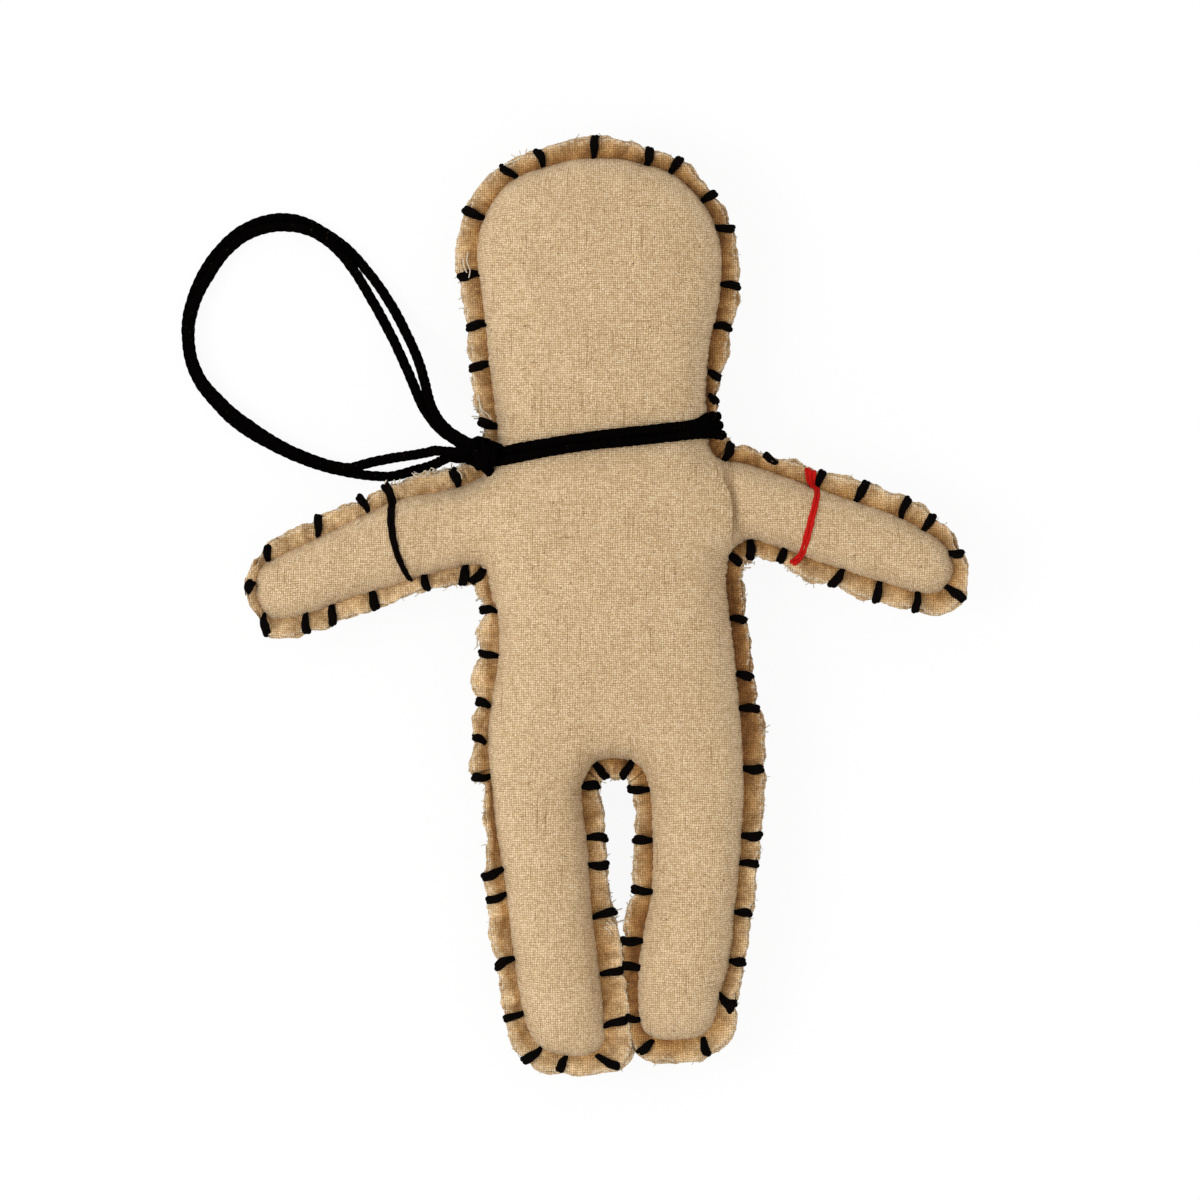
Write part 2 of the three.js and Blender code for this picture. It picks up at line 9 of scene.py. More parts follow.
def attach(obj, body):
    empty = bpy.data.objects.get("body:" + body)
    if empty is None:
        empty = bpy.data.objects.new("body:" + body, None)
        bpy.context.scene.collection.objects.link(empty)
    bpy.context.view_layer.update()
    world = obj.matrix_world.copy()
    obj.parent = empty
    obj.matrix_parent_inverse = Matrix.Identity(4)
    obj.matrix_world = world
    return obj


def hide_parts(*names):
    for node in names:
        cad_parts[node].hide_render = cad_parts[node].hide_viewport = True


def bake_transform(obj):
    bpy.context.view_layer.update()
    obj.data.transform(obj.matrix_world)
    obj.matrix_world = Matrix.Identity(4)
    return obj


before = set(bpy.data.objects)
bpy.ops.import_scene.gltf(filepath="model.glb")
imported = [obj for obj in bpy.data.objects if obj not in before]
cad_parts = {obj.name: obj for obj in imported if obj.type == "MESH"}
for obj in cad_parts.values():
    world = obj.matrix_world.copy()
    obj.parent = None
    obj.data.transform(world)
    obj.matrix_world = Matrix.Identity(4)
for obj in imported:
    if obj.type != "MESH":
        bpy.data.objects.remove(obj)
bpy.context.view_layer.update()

mm = 0.001
midHeight = 12.5  # the plane of the seams above the surface, in millimetres
rng = np.random.default_rng(41)

# The photograph: where its pixels lie in the seam plane. Every list of places below that is read
# from it, in pixels of 1200 by 1200, goes through fromPhoto.
photo = {"millimetresPerPixel": 0.1913, "centre": (605.7, 606.5), "size": 1200, "cameraHeight": 3000.0}


def fromPhoto(pixels):
    # millimetres = (pixel - centre) x scale, with y turned round because rows run downwards
    places = np.asarray(pixels, float).reshape(-1, 2)
    return (places - photo["centre"]) * photo["millimetresPerPixel"] * (1, -1)


def makeCamera():
    # looks straight down; field of view = 2 atan(half the frame's width / distance to the seam plane)
    data = bpy.data.cameras.new("Camera")
    camera = bpy.data.objects.new("Camera", data)
    bpy.context.scene.collection.objects.link(camera)
    middle = fromPhoto([photo["size"] / 2] * 2)[0]
    width = photo["size"] * photo["millimetresPerPixel"]
    camera.location = (middle[0] * mm, middle[1] * mm, photo["cameraHeight"] * mm)
    data.sensor_fit = "HORIZONTAL"
    data.angle = 2 * math.atan(width / 2 / (photo["cameraHeight"] - midHeight))
    data.clip_start = 0.01
    bpy.context.scene.camera = camera


makeCamera()
print("camera made")


# Finishes

class Number:
    # a number on a socket; an expression on numbers adds the Math nodes that it needs
    def __init__(self, finish, socket):
        self.finish, self.socket = finish, socket

    def _with(self, operation, *others):
        return self.finish.number("ShaderNodeMath", {"operation": operation}, dict(enumerate(others)))

    def __add__(self, other): return self._with("ADD", self, other)
    def __radd__(self, other): return self._with("ADD", other, self)
    def __sub__(self, other): return self._with("SUBTRACT", self, other)
    def __rsub__(self, other): return self._with("SUBTRACT", other, self)
    def __mul__(self, other): return self._with("MULTIPLY", self, other)
    def __rmul__(self, other): return self._with("MULTIPLY", other, self)
    def __truediv__(self, other): return self._with("DIVIDE", self, other)
    def __pow__(self, other): return self._with("POWER", self, other)
    def __abs__(self): return self._with("ABSOLUTE", self)

    def sine(self): return self._with("SINE", self)
    def floor(self): return self._with("FLOOR", self)

    def clipped(self, low=0.0, high=1.0):
        # 0 at low, 1 at high, a straight ramp between them
        return self.finish.number("ShaderNodeMapRange", {"clamp": True},
                                  {"Value": self, "From Min": low, "From Max": high})


class Finish:
    # a procedural material under construction
    def __init__(self, name, colour, roughness, **constants):
        self.material = bpy.data.materials.new(name)
        self.material.use_nodes = True
        self.tree = self.material.node_tree
        self.shader = self.tree.nodes["Principled BSDF"]
        self.shader.inputs["Base Color"].default_value = (*colour, 1)
        self.shader.inputs["Roughness"].default_value = roughness
        for socket, value in constants.items():
            self.shader.inputs[socket.replace("_", " ")].default_value = value

    def feed(self, socket, value):
        if isinstance(value, Number):
            value = value.socket
        if isinstance(value, bpy.types.NodeSocket):
            self.tree.links.new(value, socket)
        else:
            socket.default_value = value

    def node(self, kind, settings=None, sockets=None):
        made = self.tree.nodes.new(kind)
        settings = dict(settings or {})
        stops = settings.pop("stops", None)
        for name, value in settings.items():
            setattr(made, name, value)
        if stops:
            ramp = made.color_ramp.elements
            while len(ramp) < len(stops):
                ramp.new(0.5)
            for element, (position, colour) in zip(ramp, stops):
                element.position, element.color = position, (*colour, 1)
        for name, value in (sockets or {}).items():
            self.feed(made.inputs[name], value)
        return made

    def number(self, kind, settings=None, sockets=None, output=0):
        return Number(self, self.node(kind, settings, sockets).outputs[output])

    def noise(self, vector, scale, detail=2.0, roughness=0.5):
        return self.number("ShaderNodeTexNoise", None, {
            "Vector": vector, "Scale": scale, "Detail": detail, "Roughness": roughness})

    def stretched(self, vector, across, along):
        # the vector with its first part times across and its second times along
        sockets = {"Vector": vector, "Scale": (across, along, 1)}
        return self.node("ShaderNodeMapping", None, sockets).outputs[0]

    def blended(self, factor, first, second):
        sockets = {0: factor, 6: first, 7: second}
        return self.node("ShaderNodeMix", {"data_type": "RGBA"}, sockets).outputs[2]

    def tinted(self, colour, tint):
        multiply = self.node("ShaderNodeVectorMath", {"operation": "MULTIPLY"}, {0: colour, 1: tint})
        return multiply.outputs[0]

    def bumped(self, height, distance, strength=1.0):
        bump = self.node("ShaderNodeBump", None, {
            "Strength": strength, "Distance": distance, "Height": height})
        self.feed(self.shader.inputs["Normal"], bump.outputs[0])


linenLook = {
    "pitch": 0.44,            # millimetres from one thread to the next
    "pale": (0.90, 0.73, 0.51),
    "middle": (0.606, 0.414, 0.216),
    "deep": (0.28, 0.168, 0.078),
    "fleck": (0.15, 0.08, 0.035),
    "bump": 0.00026,
    # how much each part of the pattern changes the tone
    "cell": 0.30, "grain": 1.75, "slub": 0.30, "cloud": 0.20, "thread": 0.55, "line": 0.36,
    # the seam allowance: its tint for each shade value, from painted shade deep in the seam to paler past the
    # raw edge
    "allowance": [(0.0, (0.40, 0.25, 0.12)), (0.35, (0.62, 0.46, 0.27)), (0.6, (0.73, 0.60, 0.42)),
                  (0.85, (0.86, 0.78, 0.67)), (1.15, (1.02, 1.0, 0.95))],
    "creaseShadeTint": (0.66, 0.58, 0.48), "creaseHighlightTint": (1.22, 1.20, 1.17),
    "wearAndGlint": (0.88, 0.79, 0.62),
}


def linen(name, edge=False):
    # plain weave: a thread's roundness is |sin(pi x / pitch)|, and the product of the two
    # directions' sines says which one lies on top
    look = linenLook
    finish = Finish(name, look["middle"], 0.9,
                    Sheen_Weight=0.08, Sheen_Roughness=0.6, Specular_IOR_Level=0.1)
    uv = finish.node("ShaderNodeUVMap", {"uv_map": "Weave"}).outputs[0]
    parts = finish.node("ShaderNodeSeparateXYZ", None, {0: uv})
    wander = finish.noise(uv, 0.12, 2.0) * 1.2
    ripple = finish.noise(uv, 1.1, 1.0) * 0.20
    x = Number(finish, parts.outputs[0]) + wander + ripple
    y = Number(finish, parts.outputs[1]) + wander - ripple
    turn = math.pi / look["pitch"]
    sineX, sineY = (x * turn).sine(), (y * turn).sine()
    over = (sineX * sineY).clipped(-0.3, 0.3)
    roundness = abs(sineX * sineY) ** 0.5
    # slubs: single threads that are thicker or paler over a few millimetres
    slubX = finish.noise(finish.stretched(uv, 2.1, 0.16), 1.0, 1.0)
    slubY = finish.noise(finish.stretched(uv, 0.16, 2.1), 1.0, 1.0)
    slub = over * slubX + (1 - over) * slubY
    # a few thin dark lines run along the threads
    lineX = finish.noise(finish.stretched(uv, 2.4, 0.09), 1.0, 1.0).clipped(0.66, 0.76)
    lineY = finish.noise(finish.stretched(uv, 0.09, 2.4), 1.0, 1.0).clipped(0.69, 0.79)
    # every crossing of two threads catches the light differently
    place = finish.node("ShaderNodeCombineXYZ", None, {
        0: (x / look["pitch"]).floor(), 1: (y / look["pitch"]).floor()}).outputs[0]
    cell = finish.number("ShaderNodeTexWhiteNoise", {"noise_dimensions": "2D"}, {"Vector": place})
    grain = finish.noise(uv, 4.2, 2.0, 0.65)
    cloud = finish.noise(uv, 0.11, 3.0, 0.6)
    # the tone: slubs, grain, clouds and each crossing's own tone, less the thin dark lines; the weave's
    # roundness paints each thread's crown paler and the hollows between threads darker, as painted highlight
    # and painted shade
    level = ((slub - 0.5) * look["slub"] + (grain - 0.5) * look["grain"] + (cloud - 0.5) * look["cloud"]
             + (roundness - 0.6) * look["thread"] + (cell - 0.5) * look["cell"]
             - (lineX + lineY) * (look["line"] * (0.1 if edge else 1.0)))
    tone = (level + 0.5).clipped(0.0, 1.0)
    colour = finish.node("ShaderNodeValToRGB", {"stops": [
        (0.0, look["deep"]), (0.5, look["middle"]), (1.0, look["pale"])]}, {0: tone}).outputs[0]
    flecks = finish.noise(finish.stretched(uv, 1.0, 0.8), 1.25, 2.0, 0.6).clipped(0.67, 0.73)
    colour = finish.blended(flecks * 0.8, colour, (*look["fleck"], 1))
    if edge:
        # the allowance's tint: darker and yellower in the seam, as painted shade where the stuffed cloth
        # overhangs it, and paler towards the raw edge
        across = finish.number("ShaderNodeAttribute", {"attribute_name": "across"}, None, 2)
        along = finish.number("ShaderNodeAttribute", {"attribute_name": "along"}, None, 2)
        drift = finish.noise(uv, 0.22, 2.0) - 0.5
        shade = finish.number("ShaderNodeAttribute", {"attribute_name": "shade"}, None, 2) + drift * 0.7
        last = look["allowance"][-1][0]
        stops = [(depth / last, tint) for depth, tint in look["allowance"]]
        tint = finish.node("ShaderNodeValToRGB", {"stops": stops}, {0: shade / last}).outputs[0]
        colour = finish.tinted(colour, tint)
        # painted shade and painted highlights of creases that run out from the seam
        fan = finish.node("ShaderNodeCombineXYZ", None, {
            0: along * 0.38, 1: across * 0.9, 2: drift}).outputs[0]
        crease = finish.noise(fan, 1.0, 2.0, 0.6).clipped(0.34, 0.66)
        colour = finish.tinted(colour, finish.blended(
            crease, (*look["creaseShadeTint"], 1), (*look["creaseHighlightTint"], 1)))
        # pale spots at the raw edge: partly its wear and frayed threads, partly painted glints
        wearAndGlint = across.clipped(0.80, 1.0) * finish.noise(uv, 1.6, 3.0, 0.7).clipped(0.46, 0.60)
        colour = finish.blended(wearAndGlint * 0.7, colour, (*look["wearAndGlint"], 1))
    finish.feed(finish.shader.inputs["Base Color"], colour)
    relief = roundness * 0.5 + slub * 0.4 + grain * 0.6 + cell * 0.2
    finish.bumped(relief, look["bump"])
    return finish.material


def yarn(name, colour, tipAndGlint, fibresPerTurn=9.0, bump=0.00012, gloss=0.03, glintSpeck=None):
    # spun yarn: fibres wind round each ply, so the streaks follow a slanted sum of the two parameters
    finish = Finish(name, colour, 0.8, Specular_IOR_Level=gloss)
    uv = finish.node("ShaderNodeUVMap", {"uv_map": "Weave"}).outputs[0]
    parts = finish.node("ShaderNodeSeparateXYZ", None, {0: uv})
    around, along = Number(finish, parts.outputs[0]), Number(finish, parts.outputs[1])
    fray = finish.noise(uv, 3.0, 3.0, 0.7)
    streak = ((around * fibresPerTurn + along * 1.1 + fray * 1.5) * (2 * math.pi)).sine() * 0.5 + 0.5
    # the paler colour, where the streaks and loose fibres show, is partly the fibres' own paler ends and
    # partly painted highlight
    lintAndGlint = finish.noise(uv, 5.0, 3.0, 0.8).clipped(0.56, 0.76)
    shade = finish.blended(streak * 0.40 + lintAndGlint * 0.6, (*colour, 1), (*tipAndGlint, 1))
    # sparse specks of painted glint
    if glintSpeck:
        glintSpecks = finish.noise(uv, 2.4, 2.0, 0.6).clipped(0.66, 0.74)
        shade = finish.blended(glintSpecks * 0.8, shade, (*glintSpeck, 1))
    finish.feed(finish.shader.inputs["Base Color"], shade)
    finish.bumped(streak * 0.6 + fray * 0.8, bump)
    return finish.material


linenFront = linen("Linen")
linenEdge = linen("Linen edge", edge=True)
blackYarn = yarn("Black yarn", (0.0010, 0.0008, 0.0008), (0.013, 0.0095, 0.0085), gloss=0.01)
blackCord = yarn("Black cord", (0.0005, 0.0004, 0.0004), (0.0050, 0.0036, 0.0032), 7.0, gloss=0.0,
                 glintSpeck=(0.030, 0.022, 0.016))
brownBlackYarn = yarn("Brown-black yarn", (0.0016, 0.0010, 0.0008), (0.013, 0.009, 0.007), gloss=0.01)
redYarn = yarn("Red yarn", (0.62, 0.004, 0.003), (0.85, 0.04, 0.028), gloss=0.08)
paleThread = yarn("Pale thread", (0.70, 0.61, 0.46), (0.88, 0.81, 0.68), 5.0, 0.00004, 0.2)
print("finishes made")


# Meshes

def makeMesh(name, points, faces, material, uv=None, normals=None, **values):
    # points in millimetres, faces as rows of indices; uv and each named value have a row for each point
    mesh = bpy.data.meshes.new(name)
    faces = faces.tolist() if isinstance(faces, np.ndarray) else faces
    mesh.from_pydata((np.asarray(points) * mm).tolist(), [], faces)
    corners = np.empty(len(mesh.loops), int)
    mesh.loops.foreach_get("vertex_index", corners)
    if uv is not None:
        layer = mesh.uv_layers.new(name="Weave")
        layer.data.foreach_set("uv", np.asarray(uv, np.float32)[corners].ravel())
    for attribute, rows in values.items():
        data = mesh.attributes.new(attribute, "FLOAT", "POINT").data
        data.foreach_set("value", np.asarray(rows, np.float32))
    mesh.polygons.foreach_set("use_smooth", np.ones(len(mesh.polygons), bool))
    mesh.materials.append(material)
    mesh.update()
    if normals is not None:
        mesh.normals_split_custom_set_from_vertices(normals.tolist())
    piece = bpy.data.objects.new(name, mesh)
    bpy.context.scene.collection.objects.link(piece)
    return piece


def lengthAlong(path):
    return np.concatenate([[0], np.cumsum(np.linalg.norm(np.diff(path, axis=0), axis=1))])


def evenedRound(values, reach):
    # the mean of each value and its neighbours, up to reach places away round a closed loop
    around = np.concatenate([values[-reach:], values, values[:reach]])
    return np.convolve(around, np.ones(2 * reach + 1) / (2 * reach + 1), "valid")


def smoothThrough(points, step, closed=False):
    # a Hermite curve over chord length, whose slope at each point is that of the chord between its
    # two neighbours, sampled again at even steps of its arc length
    p = np.asarray(points, float)
    ends = (p[-1:], p[:2]) if closed else (2 * p[:1] - p[1:2], 2 * p[-1:] - p[-2:-1])
    q = np.vstack([ends[0], p, ends[1]])
    t = lengthAlong(q)
    slope = (q[2:] - q[:-2]) / (t[2:] - t[:-2])[:, None]
    start, end = q[1:-2, None], q[2:-1, None]
    span = (t[2:-1] - t[1:-2])[:, None, None]
    s = np.linspace(0, 1, 12, endpoint=False)[None, :, None]
    fine = (start * (2 * s**3 - 3 * s**2 + 1) + end * (3 * s**2 - 2 * s**3)
            + span * (slope[:-1, None] * (s**3 - 2 * s**2 + s) + slope[1:, None] * (s**3 - s**2)))
    fine = np.vstack([fine.reshape(-1, p.shape[1]), p[:1] if closed else p[-1:]])
    length = lengthAlong(fine)
    count = max(int(round(length[-1] / step)), 2)
    even = np.linspace(0, length[-1], count if closed else count + 1, endpoint=not closed)
    return np.stack([np.interp(even, length, fine[:, i]) for i in range(p.shape[1])], axis=1)


def framesAlong(path, wished=None):
    # the side direction at each point is the wished one, or else the last one, with its part along
    # the path taken out
    tangent = np.gradient(path, axis=0)
    tangent /= np.linalg.norm(tangent, axis=1)[:, None]
    if wished is not None:
        sides = wished - tangent * (wished * tangent).sum(1)[:, None]
        sides /= np.linalg.norm(sides, axis=1)[:, None]
        return sides, np.cross(tangent, sides)
    side = np.cross(tangent[0], [0.3, 0.2, 1.0])
    sides = np.empty_like(path)
    for i, along in enumerate(tangent):
        side = side - along * (side @ along)
        side = side / np.linalg.norm(side)
        sides[i] = side
    return sides, np.cross(tangent, sides)


def tube(path, radius, sides=8):
    # path point + radius (cos a side + sin a up), with a point on the path to close each end
    first, second = framesAlong(path)
    radius = np.broadcast_to(radius, len(path))[:, None, None]
    angle = np.arange(sides) * 2 * np.pi / sides
    rings = path[:, None] + radius * (first[:, None] * np.cos(angle)[None, :, None]
                                      + second[:, None] * np.sin(angle)[None, :, None])
    points = np.vstack([rings.reshape(-1, 3), path[:1], path[-1:]])
    i = np.arange(len(path) - 1)[:, None] * sides
    j = np.arange(sides)
    nextJ = (j + 1) % sides
    quads = np.stack([i + j, i + nextJ, i + sides + nextJ, i + sides + j], -1).reshape(-1, 4)
    lastRing, end = (len(path) - 1) * sides, len(path) * sides
    caps = np.vstack([np.stack([np.full(sides, end), nextJ, j], 1),
                      np.stack([np.full(sides, end + 1), lastRing + j, lastRing + nextJ], 1)])
    length = lengthAlong(path)
    around = np.abs(np.arange(sides) * 2 / sides - 1)
    uv = np.stack([np.tile(around, len(path)), np.repeat(length, sides)], 1)
    return points, quads, caps, np.vstack([uv, [[0.5, 0], [0.5, length[-1]]]])


def plied(path, look, sides=8, wished=None, share=1.0):
    # each ply's centre goes round the path at the offset, one turn in each pitch; plies without a
    # pitch lie side by side along the wished direction and sway a little; share scales the yarn
    first, second = framesAlong(path, wished)
    length = lengthAlong(path)
    twist = 2 * np.pi * length / look["pitch"] if "pitch" in look else look["sway"] * np.sin(1.1 * length)
    tubes = []
    for k in range(look["plies"]):
        turn = (twist + 2 * np.pi * k / look["plies"])[:, None]
        radius = look["plyRadius"] * share * (1 + look.get("uneven", 0) * np.sin(1.9 * length + 2.3 * k))
        offset = look["offset"] * np.broadcast_to(share, len(path))[:, None]
        centre = path + offset * (first * np.cos(turn) + second * np.sin(turn))
        tubes.append(tube(centre, radius, sides))
    return joined(tubes)


def joined(tubes):
    points, quads, caps, uvs, base = [], [], [], [], 0
    for tubePoints, tubeQuads, tubeCaps, uv in tubes:
        points.append(tubePoints), uvs.append(uv)
        quads.append(tubeQuads + base), caps.append(tubeCaps + base)
        base += len(tubePoints)
    return np.vstack(points), np.vstack(quads), np.vstack(caps), np.vstack(uvs)


def tubePiece(name, parts, material):
    points, quads, caps, uv = parts
    return makeMesh(name, points, quads.tolist() + caps.tolist(), material, uv)


# The hanging loop: each strand's length and its places in millimetres. The inner strand rests on the
# outer one where the photograph shows one line.
cordLook = {"diameter": 2.0, "plies": 3, "plyRadius": 0.80, "offset": 0.22, "pitch": 4.8, "step": 0.35}
hangingRoutes = {
    "hanging_strand_outer": (162.4, [
        (-29.6, 33.3, 20.4), (-31.1, 34.7, 18.8), (-32.6, 36.8, 16.2), (-33.7, 39.3, 13.1),
        (-34.6, 42.8, 9.9), (-36.0, 47.4, 6.6), (-38.2, 52.3, 4.0), (-40.6, 56.9, 2.2),
        (-43.4, 61.3, 1.3), (-46.5, 65.3, 1.1), (-49.8, 68.8, 1.1), (-53.5, 71.5, 1.1),
        (-57.7, 73.8, 1.1), (-62.0, 74.6, 1.1), (-66.3, 73.9, 1.1), (-70.5, 71.9, 1.1),
        (-74.1, 68.6, 1.1), (-77.1, 64.4, 1.1), (-79.2, 59.8, 1.1), (-80.4, 55.2, 1.1),
        (-80.4, 50.9, 1.1), (-79.7, 46.8, 1.1), (-78.0, 42.9, 1.1), (-75.2, 39.3, 1.1),
        (-72.1, 36.1, 1.1), (-68.8, 33.6, 1.1), (-65.4, 31.6, 1.1), (-61.7, 29.7, 1.1),
        (-57.6, 28.0, 1.1), (-53.2, 26.6, 1.1), (-49.1, 25.7, 1.6), (-45.1, 25.1, 2.8),
        (-40.9, 25.0, 4.6), (-37.0, 26.0, 6.8), (-33.6, 26.9, 9.8), (-31.8, 27.7, 12.8),
        (-30.0, 28.6, 16.1)]),
    "hanging_strand_inner": (152.8, [
        (-30.7, 33.0, 17.2), (-32.3, 34.5, 15.4), (-34.0, 36.7, 12.7), (-35.4, 39.1, 9.9),
        (-36.9, 42.7, 7.3), (-38.7, 46.8, 5.0), (-40.7, 51.1, 3.6), (-43.0, 55.5, 2.2),
        (-45.5, 59.9, 1.5), (-48.0, 64.0, 1.8), (-50.8, 67.7, 2.4), (-54.1, 70.6, 2.7),
        (-57.9, 72.4, 2.7), (-61.9, 72.9, 2.5), (-65.8, 72.4, 2.6), (-69.7, 70.7, 2.6),
        (-73.2, 67.6, 2.7), (-75.9, 63.7, 2.8), (-78.3, 59.4, 3.0), (-79.6, 54.9, 3.1),
        (-79.8, 50.9, 3.1), (-79.1, 47.0, 3.1), (-77.4, 43.3, 3.0), (-74.4, 39.9, 3.0),
        (-71.3, 37.0, 2.9), (-68.0, 34.6, 2.9), (-64.8, 32.4, 2.9), (-61.3, 30.4, 3.0),
        (-57.2, 28.6, 3.0), (-53.0, 27.2, 3.0), (-49.2, 26.6, 3.2), (-45.6, 27.5, 3.9),
        (-41.3, 28.4, 5.4), (-37.7, 28.9, 8.4), (-34.0, 29.5, 12.2), (-32.6, 29.8, 16.6),
        (-30.7, 29.6, 19.3)]),
}

for name, (length, route) in hangingRoutes.items():
    path = smoothThrough(route, cordLook["step"])
    piece = tubePiece(f"{name}_cord", plied(path, cordLook), blackCord)
    cordLook["diameter"] * mm
    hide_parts(name)
    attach(piece, "torso")
print("hanging loop laid")


# The cloth outline: the seam line and the raw edge, both anticlockwise from the top of the head
seamPixels = [
    (598, 158), (570, 160), (545, 167), (525, 173), (510, 181), (496, 196), (483, 219), (478, 240),
    (477, 262), (481, 290), (486, 330), (490, 370), (494, 400), (497, 425), (496, 445), (490, 464),
    (477, 479), (440, 491), (398, 499), (364, 514), (326, 533), (293, 549), (264, 562), (257, 570),
    (255, 583), (257, 602), (262, 614), (272, 620), (293, 618), (320, 610), (352, 598), (375, 592),
    (412, 580), (440, 572), (466, 566), (480, 564.5), (486.5, 572), (490, 590), (497, 612),
    (499, 654), (491, 704),
    (487, 735), (490, 779), (495, 830), (502, 869), (506, 894), (513, 958), (522, 1013), (529, 1035),
    (540, 1049), (560, 1056), (585, 1057), (600, 1051), (606, 1039), (605, 1022), (600, 975),
    (593, 921), (589, 865), (587, 838), (582, 805), (583, 784), (592, 766), (602, 760), (614, 758.5),
    (627, 760), (639, 766), (646, 777), (650, 793), (652, 840), (651, 890), (641, 941), (638, 968),
    (638, 1018), (644, 1034), (658, 1040), (685, 1040), (703, 1036), (714, 1022), (719, 1000),
    (730, 961), (735, 912), (740, 863), (742, 835), (744, 790), (742, 735), (736, 668), (730, 619),
    (726, 580), (728, 563), (733, 549), (751, 540), (776, 547), (810, 559), (843, 570),
    (880, 582), (918, 593),
    (940, 592), (953, 577), (953, 558), (942, 541), (919, 527), (890, 513), (858, 502), (845, 498),
    (814, 487), (787, 477), (758, 467), (737, 461.5), (724, 460), (715, 456), (710, 447), (708.5, 438),
    (707.5, 422), (706.5, 390), (708, 358), (712.5, 330), (718, 308),
    (721, 288), (722, 250), (716, 225), (705, 204), (690, 187), (670, 172), (645, 164), (622, 159),
]
edgePixels = [
    (595, 136), (565, 142), (535, 151), (515, 158), (499, 168), (480, 186), (467, 208), (460, 230),
    (456, 253), (460, 284), (464, 304), (467, 324), (471, 369), (475, 395), (480, 418), (483, 438),
    (483, 452), (474, 463), (460, 466), (437, 472), (414, 476), (396, 485), (368, 497), (345, 506),
    (322, 516), (297, 528), (278, 537), (262, 552), (249, 572), (244, 583), (249, 600), (259, 620),
    (262, 631), (270, 637), (280, 638), (301, 635), (322, 629), (345, 619), (368, 612), (393, 602),
    (412, 594), (433, 589), (460, 584), (474, 587), (480, 597), (485, 608), (479, 632), (480, 652),
    (472, 679), (478, 701), (473, 721), (473, 748), (471, 762), (474, 777), (484, 787), (485, 819),
    (488, 845), (484, 876), (488, 904), (490, 932), (497, 961), (501, 984), (505, 1020), (514, 1046),
    (528, 1064), (544, 1072), (563, 1074), (587, 1076), (606, 1072), (619, 1067), (627, 1058),
    (629.5, 1047), (628.5, 1027), (625, 1003), (621, 968), (618, 937), (613, 909), (610, 896),
    (607, 870), (606, 845),
    (604.5, 826), (601, 801), (599, 788), (604, 780), (613, 778), (626, 780), (631, 790), (636, 808),
    (635, 838), (634, 871), (633, 895), (628, 909), (625, 937), (623, 963), (627, 1003), (630.5, 1027),
    (634.5, 1048), (646, 1060), (669, 1062), (698, 1062), (712, 1055), (731, 1038), (735.5, 1024),
    (738, 1003), (743, 968), (750, 928), (754, 897), (758, 862), (761.5, 826), (764, 791), (765, 744),
    (763, 725), (758, 701), (751, 657), (745, 605), (742, 580), (744, 567), (751, 560), (762, 558),
    (774, 562), (785, 565), (799, 575), (814, 582), (829, 584), (843, 589), (866, 600), (890, 605),
    (919, 611), (938, 616), (955, 609), (966, 600), (967, 586), (967, 565), (959, 546), (948, 529),
    (929, 512), (910, 498), (887, 491), (866, 482), (843, 476), (818, 471), (795, 462), (766, 455),
    (751, 449), (736, 445), (725, 434), (718, 415), (716.5, 400), (724, 367), (731.5, 331), (739, 289),
    (738, 262), (732, 228), (724, 210), (715, 195), (701, 181), (682, 160), (653, 150), (631, 143.5),
]

# Whip stitches, each from its place in the seam to the raw edge
stitchPixels = {
    "head": [
        (594, 158, 595, 136), (646, 166, 650, 148), (543, 166, 537, 150), (670, 174, 681, 158),
        (517, 177, 500, 167), (702, 202, 716, 193), (485, 218, 464, 209),
        (715, 227, 734, 229), (481, 274, 459, 278), (721, 284, 739.5, 286.5), (490, 323, 467, 328),
        (714, 326.5, 731, 328), (491, 364, 470, 369), (709, 371.5, 720, 378.5), (709.5, 395.5, 717.5, 404),
        (499, 426, 479, 421)],
    "left_arm": [
        (723.5, 461.5, 731.5, 443.5), (776, 463, 764, 454), (817, 486, 823, 471), (855, 502, 867, 482),
        (901, 518, 909, 498), (923, 530, 933, 515), (948, 553, 963, 554), (945, 586, 964, 600),
        (918, 591, 915, 612), (880, 581, 876, 602), (843, 569, 831, 586), (786, 546, 779, 562),
        (750, 537, 750, 559), (726, 552.5, 741, 565)],
    "right_arm": [
        (459, 488, 452, 469), (368, 511, 358, 496), (318, 536, 318, 515), (268, 561, 268, 545),
        (248, 594, 252, 581), (264, 614, 268, 635), (306, 613, 307, 633), (332, 603, 333, 625),
        (371, 588, 376, 609), (424, 570, 427, 590), (466, 562.5, 462.5, 584.5), (486.5, 564.5, 471.7, 582.6)],
    "torso": [
        (496, 611, 480, 610), (498, 656, 479, 653), (489, 706, 477, 701), (485, 743, 473, 736),
        (490, 776, 473, 777), (730, 618.5, 746, 621), (735.5, 673.5, 752.5, 678.5), (737, 708, 759, 709),
        (742, 768, 763, 769), (634, 757, 621.5, 777.5), (593, 760, 606.5, 778)],
    "left_leg": [
        (650, 789, 628, 789), (741, 835, 761, 836), (740, 863, 758, 864), (735, 912, 751, 913),
        (730, 961, 745, 962), (716, 992, 732, 1012), (722, 1002, 736, 1003), (703, 1038, 707, 1055),
        (652, 840, 634, 839), (653, 892, 632, 889), (645, 940, 621.5, 941), (644, 968.5, 621.5, 965),
        (639, 1019.5, 626, 1017), (652.5, 1040.5, 639, 1053)],
    "right_leg": [
        (578, 787, 599, 785), (586, 838, 607, 838), (588, 865, 608, 865), (593.5, 917.5, 616, 911),
        (601, 974, 623, 970), (604, 1026, 627, 1020), (503, 868, 483, 878), (506, 894, 487, 901),
        (514, 958, 496, 967), (523, 1013, 504, 1019), (541, 1048, 523, 1061), (566, 1057, 559, 1071),
        (597, 1055, 619, 1067)],
}
